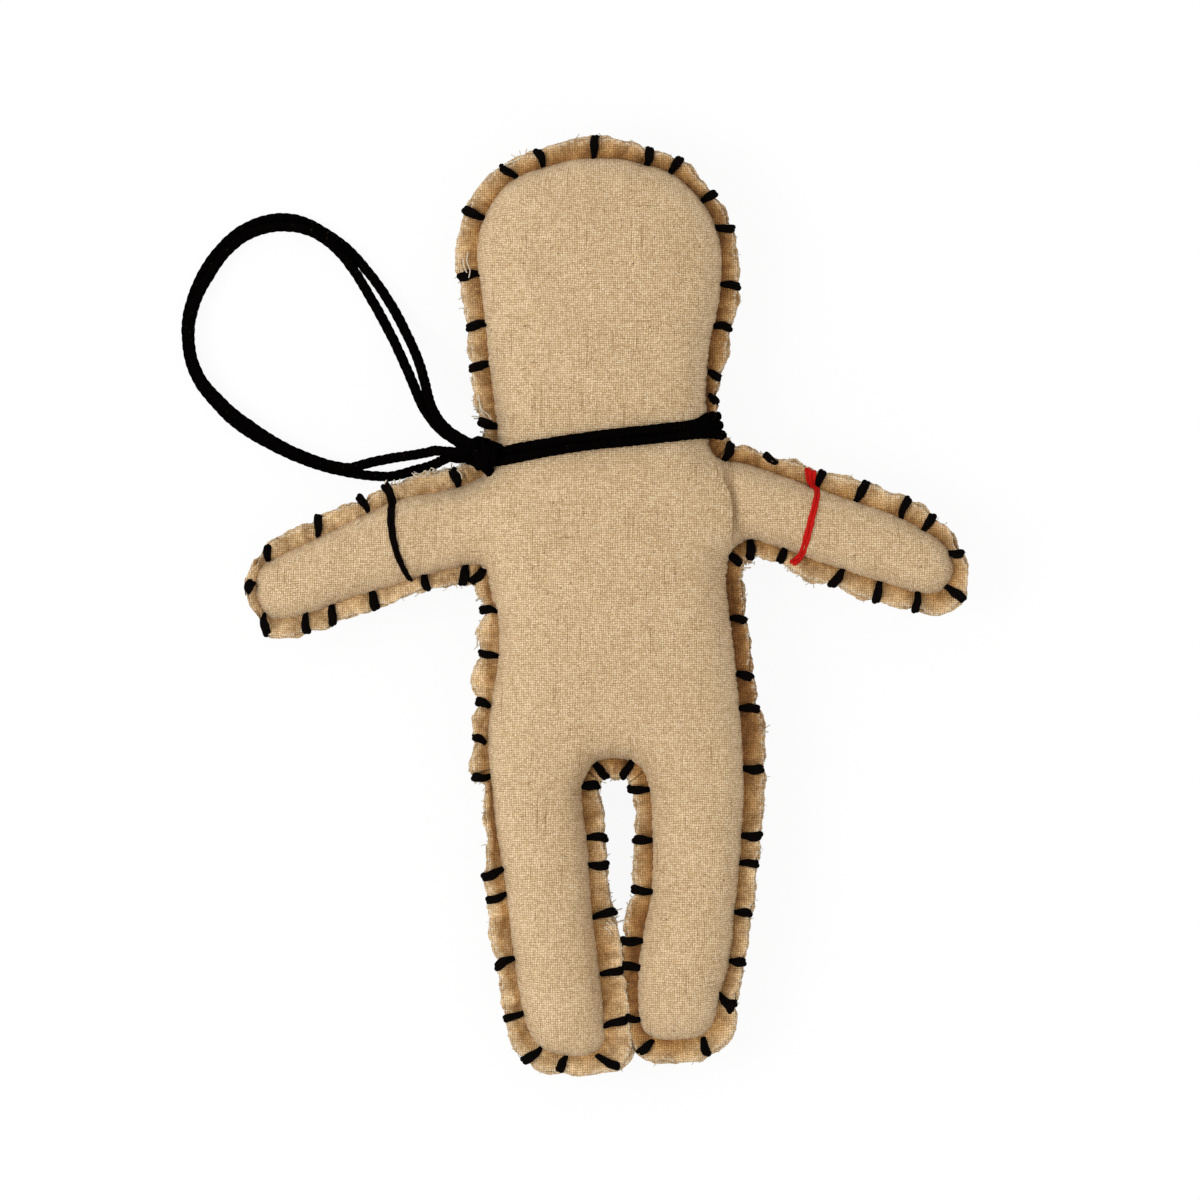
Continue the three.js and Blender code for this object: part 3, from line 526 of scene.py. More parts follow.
panel = {
    "spacing": 1.35,          # between the points of a panel before it is subdivided
    "fineSpacing": 0.42,      # between the seam's points that the border is built on
    "limitRadius": 15.8,      # how flat the fullest places are pressed
    "rimRadius": 6.0,         # of the turn down to the seam, for the weave's true length
    "backShift": (37.3, 11.9),                   # of the back panel's weave against the front's
    "seamBand": (1.3, 0.6),   # points this near the seam, in the plane and in height, go back on it
    "evenBand": (3.4, 3.0), "evenShare": 0.8,    # the ones beside it are evened out: how far, fading over
    "spread": 0.95,           # how far the seam's points stand out before they are subdivided
    # the filling doesn't reach the seam at the feet and along the legs' sides: how much flatter the
    # cloth is there, how far in from the seam, below which height on the doll and over how much of it
    "feet": {"flatter": 0.7, "reach": 4.5, "below": -76.0, "over": 6.0},
    "legSides": {"flatter": 0.45, "reach": 3.2, "below": -30.0, "over": 20.0},
}

seam = smoothThrough(fromPhoto(seamPixels), panel["spacing"], closed=True)
fineSeam = smoothThrough(fromPhoto(seamPixels), panel["fineSpacing"], closed=True)
rawEdge = smoothThrough(fromPhoto(edgePixels), 0.2, closed=True)


def outwardOf(loop):
    # a quarter turn clockwise from the way round
    along = np.roll(loop, -1, axis=0) - np.roll(loop, 1, axis=0)
    along /= np.linalg.norm(along, axis=1)[:, None]
    return np.stack([along[:, 1], -along[:, 0]], 1)


def nearestOn(loop, points):
    # index of the loop's nearest point to each point, and the distance
    indices, distances = [], []
    for block in np.array_split(points, max(len(points) // 2000, 1)):
        gaps = np.linalg.norm(block[:, None] - loop[None], axis=2)
        indices.append(gaps.argmin(1)), distances.append(gaps.min(1))
    return np.concatenate(indices), np.concatenate(distances)


# Lines where a body's cloth ends against the torso's: the neck under the tie, the arms, the legs
hipLine, betweenLegs = -31.2, 2.2
splits = {
    "head": np.array([(-21.0, 29.2), (20.1, 34.0)]),
    "right_arm": np.array([(-26.4, 23.3), (-25.0, 15.0), (-23.4, 6.2)]),
    "left_arm": np.array([(20.9, 28.8), (21.9, 25.0), (23.1, 21.1), (23.7, 16.1), (23.6, 12.4),
                          (24.0, 10.6)]),
    "right_leg": np.array([(-22.2, hipLine), (-3.3, hipLine)]),
    "left_leg": np.array([(7.2, hipLine), (26.5, hipLine)]),
}
# the bodies, in the order of their region numbers
bodies = ["torso", "head", "left_arm", "right_arm", "left_leg", "right_leg"]


def regionOf(points):
    # which body's cloth a place on the panel belongs to; an arm's reaches a little past the ends of
    # its line, but not down to the legs
    x, y = points[:, 0], points[:, 1]
    region = np.zeros(len(points), int)
    for arm, side in (("left_arm", 1), ("right_arm", -1)):
        line = splits[arm][np.argsort(splits[arm][:, 1])]
        beyond = side * (x - np.interp(y, line[:, 1], line[:, 0])) > 0
        low, high = line[0, 1], line[-1, 1]
        outside = (y >= low) | (side * x > side * line[0, 0] + 3)
        region[beyond & outside & (y > -16) & (y < high + 1.5)] = bodies.index(arm)
    (x0, y0), (x1, y1) = splits["head"]
    region[(y > y0 + (x - x0) * (y1 - y0) / (x1 - x0)) & (region == 0)] = bodies.index("head")
    region[(y < hipLine) & (x < betweenLegs)] = bodies.index("right_leg")
    region[(y < hipLine) & (x > betweenLegs)] = bodies.index("left_leg")
    return region


def cutPanel():
    # a constrained triangulation of the seam outline: a triangular lattice inside, the seam round
    # it, and the split lines through it, each ending on the seam point nearest to it
    step = panel["spacing"]
    low, high = seam.min(0), seam.max(0)
    rows = np.arange(low[1], high[1], step * math.sqrt(3) / 2)
    columns = np.arange(low[0], high[0], step)
    x, y = np.meshgrid(columns, rows)
    x = x + (np.arange(len(rows)) % 2)[:, None] * step / 2
    lattice = np.stack([x.ravel(), y.ravel()], 1)
    lattice = lattice + rng.normal(0, 0.03, lattice.shape)
    after = np.roll(seam, -1, axis=0)
    inside = np.zeros(len(lattice), bool)
    for (ax, ay), (bx, by) in zip(seam, after):
        crosses = (ay > lattice[:, 1]) != (by > lattice[:, 1])
        if crosses.any() and ay != by:
            inside ^= crosses & (lattice[:, 0] < (bx - ax) * (lattice[:, 1] - ay) / (by - ay) + ax)
    inside &= nearestOn(seam, lattice)[1] > 0.72 * step
    points, edges = [seam], [(i, (i + 1) % len(seam)) for i in range(len(seam))]
    count = len(seam)
    for line in splits.values():
        first, last = nearestOn(seam, line[[0, -1]])[0]
        through = smoothThrough(np.vstack([seam[first], line[1:-1], seam[last]]), step)
        inner = through[1:-1]
        inside &= nearestOn(inner, lattice)[1] > 0.6 * step
        chain = [first, *range(count, count + len(inner)), last]
        edges += list(zip(chain[:-1], chain[1:]))
        points.append(inner)
        count += len(inner)
    flat = np.vstack([*points, lattice[inside]])
    loop = [list(range(len(seam)))]
    result = geometry.delaunay_2d_cdt([Vector(p) for p in flat.tolist()], edges, loop, 1, 1e-5)
    flat = np.array([tuple(v) for v in result[0]])
    faces = np.array([list(f) for f in result[2] if len(f) == 3])
    a, b, c = flat[faces[:, 0]], flat[faces[:, 1]], flat[faces[:, 2]]
    area = (b[:, 0] - a[:, 0]) * (c[:, 1] - a[:, 1]) - (b[:, 1] - a[:, 1]) * (c[:, 0] - a[:, 0])
    faces[area < 0] = faces[area < 0][:, ::-1]
    return flat, faces


def stuffedHeight(flat, faces, rim):
    # a stretched membrane's sag h under an even load (its second differences sum to -2) with h = 0
    # on the seam, found by conjugate gradients; the cloth stands sqrt(h) high, pressed towards the
    # limit radius R as r / sqrt(1 + (r / R)^2)
    a, b, c = (flat[faces[:, k]] for k in range(3))

    def cotangent(p, q, r):
        u, v = q - p, r - p
        return (u * v).sum(1) / np.abs(u[:, 0] * v[:, 1] - u[:, 1] * v[:, 0])

    cots = [cotangent(a, b, c), cotangent(b, c, a), cotangent(c, a, b)]
    pairs = [(faces[:, 1], faces[:, 2]), (faces[:, 2], faces[:, 0]), (faces[:, 0], faces[:, 1])]
    area = np.abs((b - a)[:, 0] * (c - a)[:, 1] - (b - a)[:, 1] * (c - a)[:, 0]) / 2
    load = np.bincount(faces.ravel(), np.repeat(area / 3, 3), len(flat)) * 2
    free = ~rim

    def stiffness(h):
        out = np.zeros(len(flat))
        for weight, (p, q) in zip(cots, pairs):
            pull = weight / 2 * (h[p] - h[q])
            out += np.bincount(p, pull, len(flat)) - np.bincount(q, pull, len(flat))
        return out * free

    h = np.zeros(len(flat))
    residual = load * free
    direction, size = residual.copy(), residual @ residual
    for _ in range(600):
        moved = stiffness(direction)
        step = size / (direction @ moved)
        h += step * direction
        residual = residual - step * moved
        newSize = residual @ residual
        if newSize < 1e-9:
            break
        direction = residual + newSize / size * direction
        size = newSize
    r = np.sqrt(np.maximum(h, 0))
    return r / np.sqrt(1 + (r / panel["limitRadius"]) ** 2)


def lineDistance(points, line):
    # distance to a polyline, and which side of it each point lies on, from its nearest stretch
    best, side = np.full(len(points), 1e9), np.zeros(len(points))
    for p, q in zip(line[:-1], line[1:]):
        d = q - p
        t = np.clip(((points - p) @ d) / (d @ d), 0, 1)
        off = points - (p + t[:, None] * d)
        gap = np.linalg.norm(off, axis=1)
        near = gap < best
        cross = d[0] * off[:, 1] - d[1] * off[:, 0]
        best, side = np.where(near, gap, best), np.where(near, np.sign(cross), side)
    return best, side


flat, faces = cutPanel()
seamGap = lineDistance(flat, np.vstack([seam, seam[:1]]))[0]
rim = seamGap < 1e-3
height = stuffedHeight(flat, faces, rim)
feet, legSides = panel["feet"], panel["legSides"]
facesRight = outwardOf(seam)[nearestOn(seam, flat)[0], 0] < -0.5  # the doll's right
atFeet = np.clip((feet["below"] - flat[:, 1]) / feet["over"], 0, 1)
atSides = np.clip((legSides["below"] - flat[:, 1]) / legSides["over"], 0, 1) * facesRight
for share, soft in ((atFeet, feet), (atSides * (1 - atFeet), legSides)):
    height *= 1 - soft["flatter"] * share * np.exp(-seamGap / soft["reach"])
print("panel cut:", len(flat), "points,", len(faces), "triangles, fullest", round(float(height.max()), 2))


def closedShell(flat, faces, height):
    # the front panel and its mirror image in the seam plane, sharing the seam's points, which stand
    # out a little because the subdivision draws them in
    spread = flat.copy()
    spread[rim] += outwardOf(seam)[nearestOn(seam, flat[rim])[0]] * panel["spread"]
    back = np.arange(len(flat))
    inner = np.flatnonzero(~rim)
    back[inner] = len(flat) + np.arange(len(inner))
    front = np.column_stack([spread, midHeight + height])
    rear = np.column_stack([flat[inner], np.maximum(midHeight - height[inner], 0.05)])
    return np.vstack([front, rear]), np.vstack([faces, back[faces][:, ::-1]])


# Cloth simulation of the two panels: the seam is held, and they are cut larger than they lie
stuffing = {
    "unitsPerMillimetre": 0.1, "frames": 20, "pressure": 4.0, "stretch": 40.0, "bending": 1.0,
    "larger": 0.032,          # how much larger the panels are cut
    "rounds": 12,             # of averaging that take out the swelling
    "most": 0.42,             # the deepest pucker, in millimetres
}


def simulatedCloth(points, faces):
    mesh = bpy.data.meshes.new("panels")
    mesh.from_pydata((points * stuffing["unitsPerMillimetre"]).tolist(), [], faces.tolist())
    panels = bpy.data.objects.new("panels", mesh)
    bpy.context.scene.collection.objects.link(panels)
    held = panels.vertex_groups.new(name="seam")
    held.add(np.flatnonzero(points[:, 2] == midHeight).tolist(), 1.0, "REPLACE")
    modifier = panels.modifiers.new("stuffing", "CLOTH")
    settings = modifier.settings
    settings.quality = 6
    settings.tension_stiffness = settings.compression_stiffness = stuffing["stretch"]
    settings.shear_stiffness = stuffing["stretch"] / 2
    settings.bending_stiffness = stuffing["bending"]
    settings.use_pressure = True
    settings.uniform_pressure_force = stuffing["pressure"]
    settings.shrink_min = -stuffing["larger"]
    settings.vertex_group_mass = "seam"
    settings.effector_weights.gravity = 0
    modifier.collision_settings.use_collision = False
    modifier.point_cache.frame_end = stuffing["frames"]
    for number in range(1, stuffing["frames"] + 1):
        bpy.context.scene.frame_set(number)
    made = panels.evaluated_get(bpy.context.evaluated_depsgraph_get())
    out = np.empty(len(points) * 3)
    made.data.vertices.foreach_get("co", out)
    bpy.context.scene.frame_set(1)
    bpy.data.objects.remove(panels)
    bpy.data.meshes.remove(mesh)
    return out.reshape(-1, 3) / stuffing["unitsPerMillimetre"]


def averaged(values, faces, rounds):
    # each round moves every point half way to the mean of its neighbours
    ends = np.stack([faces, np.roll(faces, -1, axis=1)], -1).reshape(-1, 2)
    count = np.bincount(ends.ravel(), minlength=len(values))
    for _ in range(rounds):
        total = np.stack([np.bincount(ends[:, 0], column[ends[:, 1]], len(values))
                          + np.bincount(ends[:, 1], column[ends[:, 0]], len(values))
                          for column in values.T], 1)
        values = (values + total / count[:, None]) / 2
    return values


shell, shellFaces = closedShell(flat, faces, height)
puckers = np.zeros_like(shell)
# the swelling is in the height already, so only what averaging takes out is kept: the puckers
moved = averaged(simulatedCloth(shell, shellFaces) - shell, shellFaces, 2)
moved[shell[:, 2] == midHeight] = 0
moved = moved - averaged(moved, shellFaces, stuffing["rounds"])
puckers = np.clip(moved, -stuffing["most"], stuffing["most"])
print("cloth simulated, puckers up to", round(float(np.abs(puckers).max()), 2), "mm")

# Folds: the tie's hollow round the neck and the shallow ones where the arms leave the torso, each a
# share of the height deep, with its width on the left and on the right of its line
folds = [
    {"line": [(-24, 28.9), (24, 34.4)], "depth": 0.34, "widths": (4.6, 4.6)},
    {"line": [(20.2, 32.0), (23.8, 23.8), (25.2, 14.3), (24.2, 8.4)],
     "depth": 0.20, "widths": (1.5, 4.0)},
    {"line": [(-23.8, 25.0), (-24.2, 19.0), (-23.6, 12.0), (-22.6, 5.0)],
     "depth": 0.10, "widths": (3.0, 4.0)},
]
for fold in folds:
    gap, side = lineDistance(flat, np.array(fold["line"], float))
    foldWidth = np.where(side > 0, *fold["widths"])
    height *= 1 - fold["depth"] * np.exp(-(gap / foldWidth) ** 2)
shell = closedShell(flat, faces, height)[0] + puckers
shell[:, 2] = np.maximum(shell[:, 2], 0.12)
labels = np.tile(regionOf(flat[faces].mean(1)), 2)


def subdivided(points, faces, labels):
    # one round of a subdivision surface; each new face keeps its region in its material index
    mesh = bpy.data.meshes.new("shell")
    mesh.from_pydata((points * mm).tolist(), [], faces.tolist())
    for _ in bodies:
        mesh.materials.append(linenFront)
    mesh.polygons.foreach_set("material_index", labels.astype(np.int32))
    source = bpy.data.objects.new("shell", mesh)
    bpy.context.scene.collection.objects.link(source)
    modifier = source.modifiers.new("finer", "SUBSURF")
    modifier.levels = modifier.render_levels = 1
    evaluated = source.evaluated_get(bpy.context.evaluated_depsgraph_get())
    made = evaluated.to_mesh()
    out = np.empty(len(made.vertices) * 3)
    made.vertices.foreach_get("co", out)
    quads = np.empty(len(made.loops), int)
    made.loops.foreach_get("vertex_index", quads)
    index = np.empty(len(made.polygons), np.int32)
    made.polygons.foreach_get("material_index", index)
    evaluated.to_mesh_clear()
    bpy.data.objects.remove(source)
    bpy.data.meshes.remove(mesh)
    return out.reshape(-1, 3) / mm, quads.reshape(-1, 4), index


def vertexNormals(points, quads):
    # the mean of the surrounding faces' normals, each as long as its face is large
    a, b, c, d = (points[quads[:, k]] for k in range(4))
    faceNormals = np.cross(c - a, d - b)
    total = np.stack([np.bincount(quads.ravel(), np.repeat(part, 4), len(points))
                      for part in faceNormals.T], 1)
    return total / np.linalg.norm(total, axis=1)[:, None]


surface, surfaceFaces, surfaceRegion = subdivided(shell, shellFaces, labels)
# its points in the seam go back on the seam line, and the ones beside it are evened out
nearest, gap = nearestOn(fineSeam, surface[:, :2])
bandReach, bandHeight = panel["seamBand"]
inSeam = (np.abs(surface[:, 2] - midHeight) < bandHeight) & (gap < bandReach)
surface[inSeam, :2] = (fineSeam + outwardOf(fineSeam) * 0.05)[nearest[inSeam]]
surface[inSeam, 2] = midHeight
even = averaged(surface, surfaceFaces, 4)
evenReach, evenFade = panel["evenBand"]
beside = ((gap < evenReach) & ~inSeam)[:, None] * np.exp(-(gap / evenFade) ** 2)[:, None]
surface = surface + (even - surface) * beside * panel["evenShare"]
print("cloth surface:", len(surface), "points")

# Fine forms on the subdivided surface, in millimetres
dents = {
    "stitchDepth": 0.16, "stitchReach": 1.5,     # a stitch draws the cloth in, as a share of its height
    "creaseDepth": 3.0, "creaseReach": 2.4,      # where the left arm's cloth goes in under the torso's
    "lipHeight": 0.45, "lipReach": 2.4,          # the torso's cloth bulges there
    "overhang": 0.55, "overhangReach": 1.1,      # and lies over the arm's
    "rollDepth": 0.7, "rollReach": 0.45,         # its last bit turns down
}
stitches = {body: fromPhoto(rows).reshape(-1, 2, 2) for body, rows in stitchPixels.items()}
allStitches = np.vstack(list(stitches.values()))


def dented(points):
    place, rise = points[:, :2], points[:, 2] - midHeight
    pull = np.exp(-(nearestOn(allStitches[:, 0], place)[1] / dents["stitchReach"]) ** 2)
    rise = rise * (1 - dents["stitchDepth"] * pull)
    return np.column_stack([place, midHeight + rise])


def creased(points, body):
    # along the line that splits off the left arm, the torso's cloth bulges out over the arm's, which
    # lies deeper; the step fades out towards both ends of the line and towards the seam
    line = splits["left_arm"]
    gap = lineDistance(points[:, :2], line)[0]
    rise = points[:, 2] - midHeight
    x, y = points[:, 0], points[:, 1]
    fade = np.clip((line[0, 1] + 0.8 - y) / 2.5, 0, 1) * np.clip((y - line[-1, 1] + 0.2) / 3, 0, 1)
    fade = fade * np.clip(rise / 3, 0, 1)
    if body == "left_arm":
        rise = rise - dents["creaseDepth"] * fade * np.exp(-gap / dents["creaseReach"])
    elif body == "torso":
        rise = rise + dents["lipHeight"] * fade * np.exp(-(gap / dents["lipReach"]) ** 2)
        x = x + dents["overhang"] * fade * np.exp(-(gap / dents["overhangReach"]) ** 2)
        rise = rise - dents["rollDepth"] * fade * np.exp(-(gap / dents["rollReach"]) ** 2)
    return np.column_stack([x, y, midHeight + rise])


surface = dented(surface)
surfaceNormals = vertexNormals(surface, surfaceFaces)
clothTree = BVHTree.FromPolygons([tuple(p) for p in surface], surfaceFaces.tolist())


def weaveCoordinates(points):
    # the panel's flat coordinates: a point moves out from the middle by the arc that the turn down
    # to the seam holds, R asin((R - d) / R) - (R - d) for the distance d from the seam
    place = points[:, :2]
    index, gap = nearestOn(fineSeam, place)
    outward = outwardOf(fineSeam)[index]
    radius = panel["rimRadius"]
    left = np.clip(radius - gap, 0, radius)
    excess = radius * np.arcsin(left / radius) - left
    back = np.where(points[:, 2] < midHeight, 1.0, 0.0)[:, None]
    return place + outward * excess[:, None] + back * panel["backShift"]


def declareBending(piece, body):
    if body == "torso":
        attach(piece, "torso")
        return
    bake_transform(piece)


def capsOf(quads, points):
    # triangles from the middle of each open edge of a piece, which close it inside the cloth; a
    # middle's flat place is as far past the edge as the cap is high, as if the cloth were folded down
    ends = np.stack([quads, np.roll(quads, -1, axis=1)], -1).reshape(-1, 2)
    present = {tuple(pair) for pair in ends.tolist()}
    after = {b: a for a, b in present if (b, a) not in present}
    caps, middles, facings, flats = [], [], [], []
    while after:
        loop = [next(iter(after))]
        while loop[-1] in after:
            loop.append(after.pop(loop[-1]))
        middle = len(points) + len(middles)
        ring = points[loop]
        centre = ring.mean(0)
        facing = np.cross(ring[:-1] - centre, ring[1:] - centre).sum(0)
        facing = facing / np.linalg.norm(facing)
        middles.append(centre)
        facings.append(facing)
        flats.append(centre[:2] + facing[:2] * (ring[:, 2].max() - centre[2]))
        caps += [[a, b, middle] for a, b in zip(loop[:-1], loop[1:])]
    return caps, middles, facings, flats


weave = weaveCoordinates(surface)
for index, body in enumerate(bodies):
    chosen = surfaceFaces[surfaceRegion == index]
    used, compact = np.unique(chosen, return_inverse=True)
    compact = compact.reshape(-1, 4)
    shaped = creased(surface[used], body)
    shapedNormals = surfaceNormals[used]
    if body in ("torso", "left_arm"):
        moved = np.abs(shaped - surface[used]).max(1) > 0.02
        shapedNormals = np.where(moved[:, None], vertexNormals(shaped, compact), shapedNormals)
    caps, middles, facings, flats = capsOf(compact, shaped)
    piece = makeMesh(f"{body}_cloth", np.vstack([shaped, *middles]), compact.tolist() + caps, linenFront,
                     uv=np.vstack([weave[used], *flats]),
                     normals=np.vstack([shapedNormals, *facings]))
    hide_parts(body)
    declareBending(piece, body)
    print(piece.name, len(used), "points")
print("stuffed cloth made")


# The seam allowance: two raw cloth edges side by side outside the seam
border = {
    "nominal": 3.7,           # how wide the allowance is cut
    "columns": 9,
    "clothThickness": 0.34,
    "clothGap": 0.2,          # from the seam plane to the middle of each cloth, in the seam
    "pullIn": 0.45,           # how far a stitch draws the raw edge in
    "pullReach": 1.3,
    "dome": 0.32,             # how far the cloth bellies up between two stitches
    "pucker": 0.8, "puckerReach": 3.2,           # the finer waves beside a stitch
    "standing": 0.55,         # how much of the width that a narrow place hides stands up
    "waver": 0.35,            # how far the raw edges wander up and down
    "opening": (0.12, 0.42),  # the least gap between the two raw edges, and how much more it gets
    "fringe": (0.16, 0.28),   # how ragged a raw edge is, from thread to thread and over longer waves
    "further": (-0.15, 0.25),                    # how much further out the upper and the lower edge lie
    "tuck": 0.7,              # how far the border reaches in under the stuffed cloth
    # how much paler each body's allowance is, and how much paler still where it faces the light
    "paler": {"torso": (0.0, 0.60), "head": (0.02, 0.16), "left_arm": (0.22, 0.05),
              "right_arm": (0.66, 0.05), "left_leg": (0.16, -0.08), "right_leg": (0.20, 0.05)},
    # a painted shadow line between the two edges where they stand up
    "ridge": 0.55, "ridgeWidth": 0.13, "ridgeOn": ("torso", "right_leg"),
    "ties": [(487, 452), (715, 427)],            # where the tie presses it flat, in pixels
    "tieReach": 2.6, "tiePull": 1.1,
    # how far the legs' edges lap over each other near the feet, and where
    "meeting": 0.75, "meetingLift": 0.95, "meetingX": 2.5, "meetingReach": 9, "meetingY": (-62.0, -86.5),
    # places painted darker as shade, or paler as light: pixels, reach in millimetres, how much darker
    "shaded": [((716, 449), 2.6, 0.5), ((492, 840), 5.0, 0.35), ((716, 385), 4.0, 0.15),
               ((560, 1060), 12.0, -0.35), ((690, 1045), 10.0, -0.25), ((505, 960), 14.0, -0.3)],
}


def waves(length, count, shortest, seed):
    # a sum of sines with random phases, the longest as strong as the shortest, mostly in -1..1
    random = np.random.default_rng(seed)
    total = np.zeros(len(length))
    for k in range(count):
        wavelength = shortest * (1 + 0.9 * k + 0.3 * random.random())
        total += np.sin(2 * np.pi * (length / wavelength + random.random()))
    return total / math.sqrt(count) / 1.4


def edgeBeside():
    # the raw edge's point for each seam point: the nearest one, never going back on the way round,
    # and evened out
    index = nearestOn(rawEdge, fineSeam)[0].astype(float)
    size = len(rawEdge)
    jump = np.diff(index, prepend=index[0])
    turns = np.where(jump < -size / 2, size, 0) - np.where(jump > size / 2, size, 0)
    index = np.maximum.accumulate(index + np.cumsum(turns))
    window = 9
    padded = np.concatenate([index[-window:] - size, index, index[:window] + size])
    index = np.convolve(padded, np.ones(2 * window + 1) / (2 * window + 1), "valid")
    wrapped = np.vstack([rawEdge, rawEdge[:1]])
    return np.stack([np.interp(index % size, np.arange(size + 1), column) for column in wrapped.T], 1)


outward, edge = outwardOf(fineSeam), edgeBeside()
seamLength = np.arange(len(fineSeam)) * np.linalg.norm(fineSeam[1] - fineSeam[0])
stitchIndex = nearestOn(fineSeam, allStitches[:, 0])[0]
perimeter = seamLength[-1] + seamLength[1]
apart = np.abs(seamLength[:, None] - seamLength[stitchIndex][None])
apart = np.minimum(apart, perimeter - apart)
pinch = np.exp(-(apart.min(1) / border["pullReach"]) ** 2)
width = np.linalg.norm(edge - fineSeam, axis=1)
# the cloth that a narrow place doesn't show stands up
hidden = np.sqrt(np.maximum(border["nominal"] ** 2 - width ** 2, 0))
standing = evenedRound(hidden * border["standing"], 6)
across = np.linspace(0, 1, border["columns"])
pressed = np.exp(-(nearestOn(fromPhoto(border["ties"]), fineSeam)[1] / border["tieReach"]) ** 2)
meetingTop, meetingEnd = border["meetingY"]
seamX, seamY = fineSeam.T
meeting = np.clip((meetingTop - seamY) / 4, 0, 1) * np.clip((seamY - meetingEnd) / 3, 0, 1)
besideMiddle = np.abs(seamX - border["meetingX"]) < border["meetingReach"]
meeting = evenedRound(meeting * besideMiddle * (np.abs(outward[:, 0]) > 0.6), 6)
lapped = meeting * np.where(seamX < border["meetingX"], 1.0, -1.0)


def borderLayer(top):
    # place(s, w) = seam - tuck at w = 0, raw edge at w = 1;
    # height = lift w + dome 4 w (1 - w) + puckers w (1 - w) + opening w^1.5
    seed = 5 if top else 9
    sign = 1 if top else -1
    fine, coarse = border["fringe"]
    fringe = fine * waves(seamLength, 5, 0.9, seed) + coarse * waves(seamLength, 3, 4.0, seed + 1)
    reach = fringe - border["pullIn"] * pinch + border["further"][0 if top else 1]
    reach = reach - border["tiePull"] * pressed + border["meeting"] * meeting
    direction = edge - fineSeam
    direction /= np.linalg.norm(direction, axis=1)[:, None]
    outer = edge + direction * reach[:, None]
    inner = fineSeam - outward * border["tuck"]
    place = inner[:, None] + (outer - inner)[:, None] * across[None, :, None]
    lift = (standing + border["waver"] * waves(seamLength, 4, 5.0, 3) * (1 - pinch)) * (1 - pressed)
    lift = lift + border["meetingLift"] * lapped
    least, more = border["opening"]
    opening = (least + more * np.abs(waves(seamLength, 4, 3.4, seed + 2))) * (1 - 0.85 * pinch)
    dome = border["dome"] * (1 - pinch) * (1 + 0.6 * waves(seamLength, 3, 6.0, 12))
    near = np.exp(-(apart.min(1) / border["puckerReach"]) ** 2)
    puckered = border["pucker"] * waves(seamLength, 4, 1.9, 15) * near
    belly = (across * (1 - across))[None, :] * (4 * dome + puckered)[:, None]
    apartBy = border["clothGap"] + opening[:, None] * across ** 1.5
    z = midHeight + lift[:, None] * across + belly + sign * apartBy
    return np.concatenate([place, z[..., None]], axis=2)


layers = [borderLayer(True), borderLayer(False)]
seamRegion = regionOf(fineSeam - outward * 0.3)
paler, facing = np.array([border["paler"][body] for body in bodies])[seamRegion].T
# painted light and shade on the allowance: paler where it faces the key light, darker where it faces away,
# and darker as painted shade where one leg's edge lies under the other's
paler = paler - facing * outward[:, 0] - 0.8 * np.maximum(-lapped, 0)
# the listed places are painted darker as shade or paler as light
for pixels, reach, darker in border["shaded"]:
    gap = np.linalg.norm(fineSeam - fromPhoto(pixels), axis=1)
    paler = paler - darker * np.exp(-(gap / reach) ** 2)
paler = evenedRound(paler, 30)
# the painted shadow line between the two standing edges, on the torso's and the right leg's sides that face
# the doll's right
ridged = np.isin(seamRegion, [bodies.index(body) for body in border["ridgeOn"]])
ridge = border["ridge"] * ridged * (outward[:, 0] < -0.6) * (1 + 0.6 * waves(seamLength, 3, 4.0, 21))
ridge = evenedRound(ridge, 10)
ridgePlace = 0.5 + 0.16 * waves(seamLength, 3, 7.0, 22)
ridge = ridge[:, None] * np.exp(-((across[None, :] - ridgePlace[:, None]) / border["ridgeWidth"]) ** 2)
gridStart = np.arange(len(fineSeam))[:, None] * border["columns"] + np.arange(border["columns"] - 1)
gridNext = (gridStart + border["columns"]) % (len(fineSeam) * border["columns"])
gridFaces = np.stack([gridStart, gridStart + 1, gridNext + 1, gridNext], -1).reshape(-1, 4)
borderTrees = [BVHTree.FromPolygons([tuple(p) for p in layer.reshape(-1, 3)], gridFaces.tolist())
               for layer in layers]


def thickSheet(grid, thickness):
    # the sheet's two faces, half a thickness above and below it, joined round their edges
    rows, columns = grid.shape[:2]
    top, bottom = grid.copy(), grid.copy()
    top[..., 2] += thickness / 2
    bottom[..., 2] -= thickness / 2
    points = np.vstack([top.reshape(-1, 3), bottom.reshape(-1, 3)])
    i, j = np.meshgrid(np.arange(rows - 1), np.arange(columns - 1), indexing="ij")
    a = (i * columns + j).ravel()
    upper = np.stack([a, a + 1, a + columns + 1, a + columns], 1)
    lower = upper[:, ::-1] + rows * columns
    ring = np.concatenate([np.arange(columns), columns * np.arange(1, rows) + columns - 1,
                           (rows - 1) * columns + np.arange(columns - 2, -1, -1),
                           columns * np.arange(rows - 2, 0, -1)])
    nextRing = np.roll(ring, -1)
    wall = np.stack([ring, ring + rows * columns, nextRing + rows * columns, nextRing], 1)
    return points, np.vstack([upper, lower, wall])


def runsOf(mask):
    # index ranges round the loop where the mask holds, one more point at each end
    count = len(mask)
    if mask.all():
        return [np.arange(count + 1) % count]
    starts = np.flatnonzero(mask & ~np.roll(mask, 1))
    runs = []
    for start in starts:
        stop = start
        while mask[stop % count]:
            stop += 1
        runs.append(np.arange(start - 1, stop + 1) % count)
    return runs


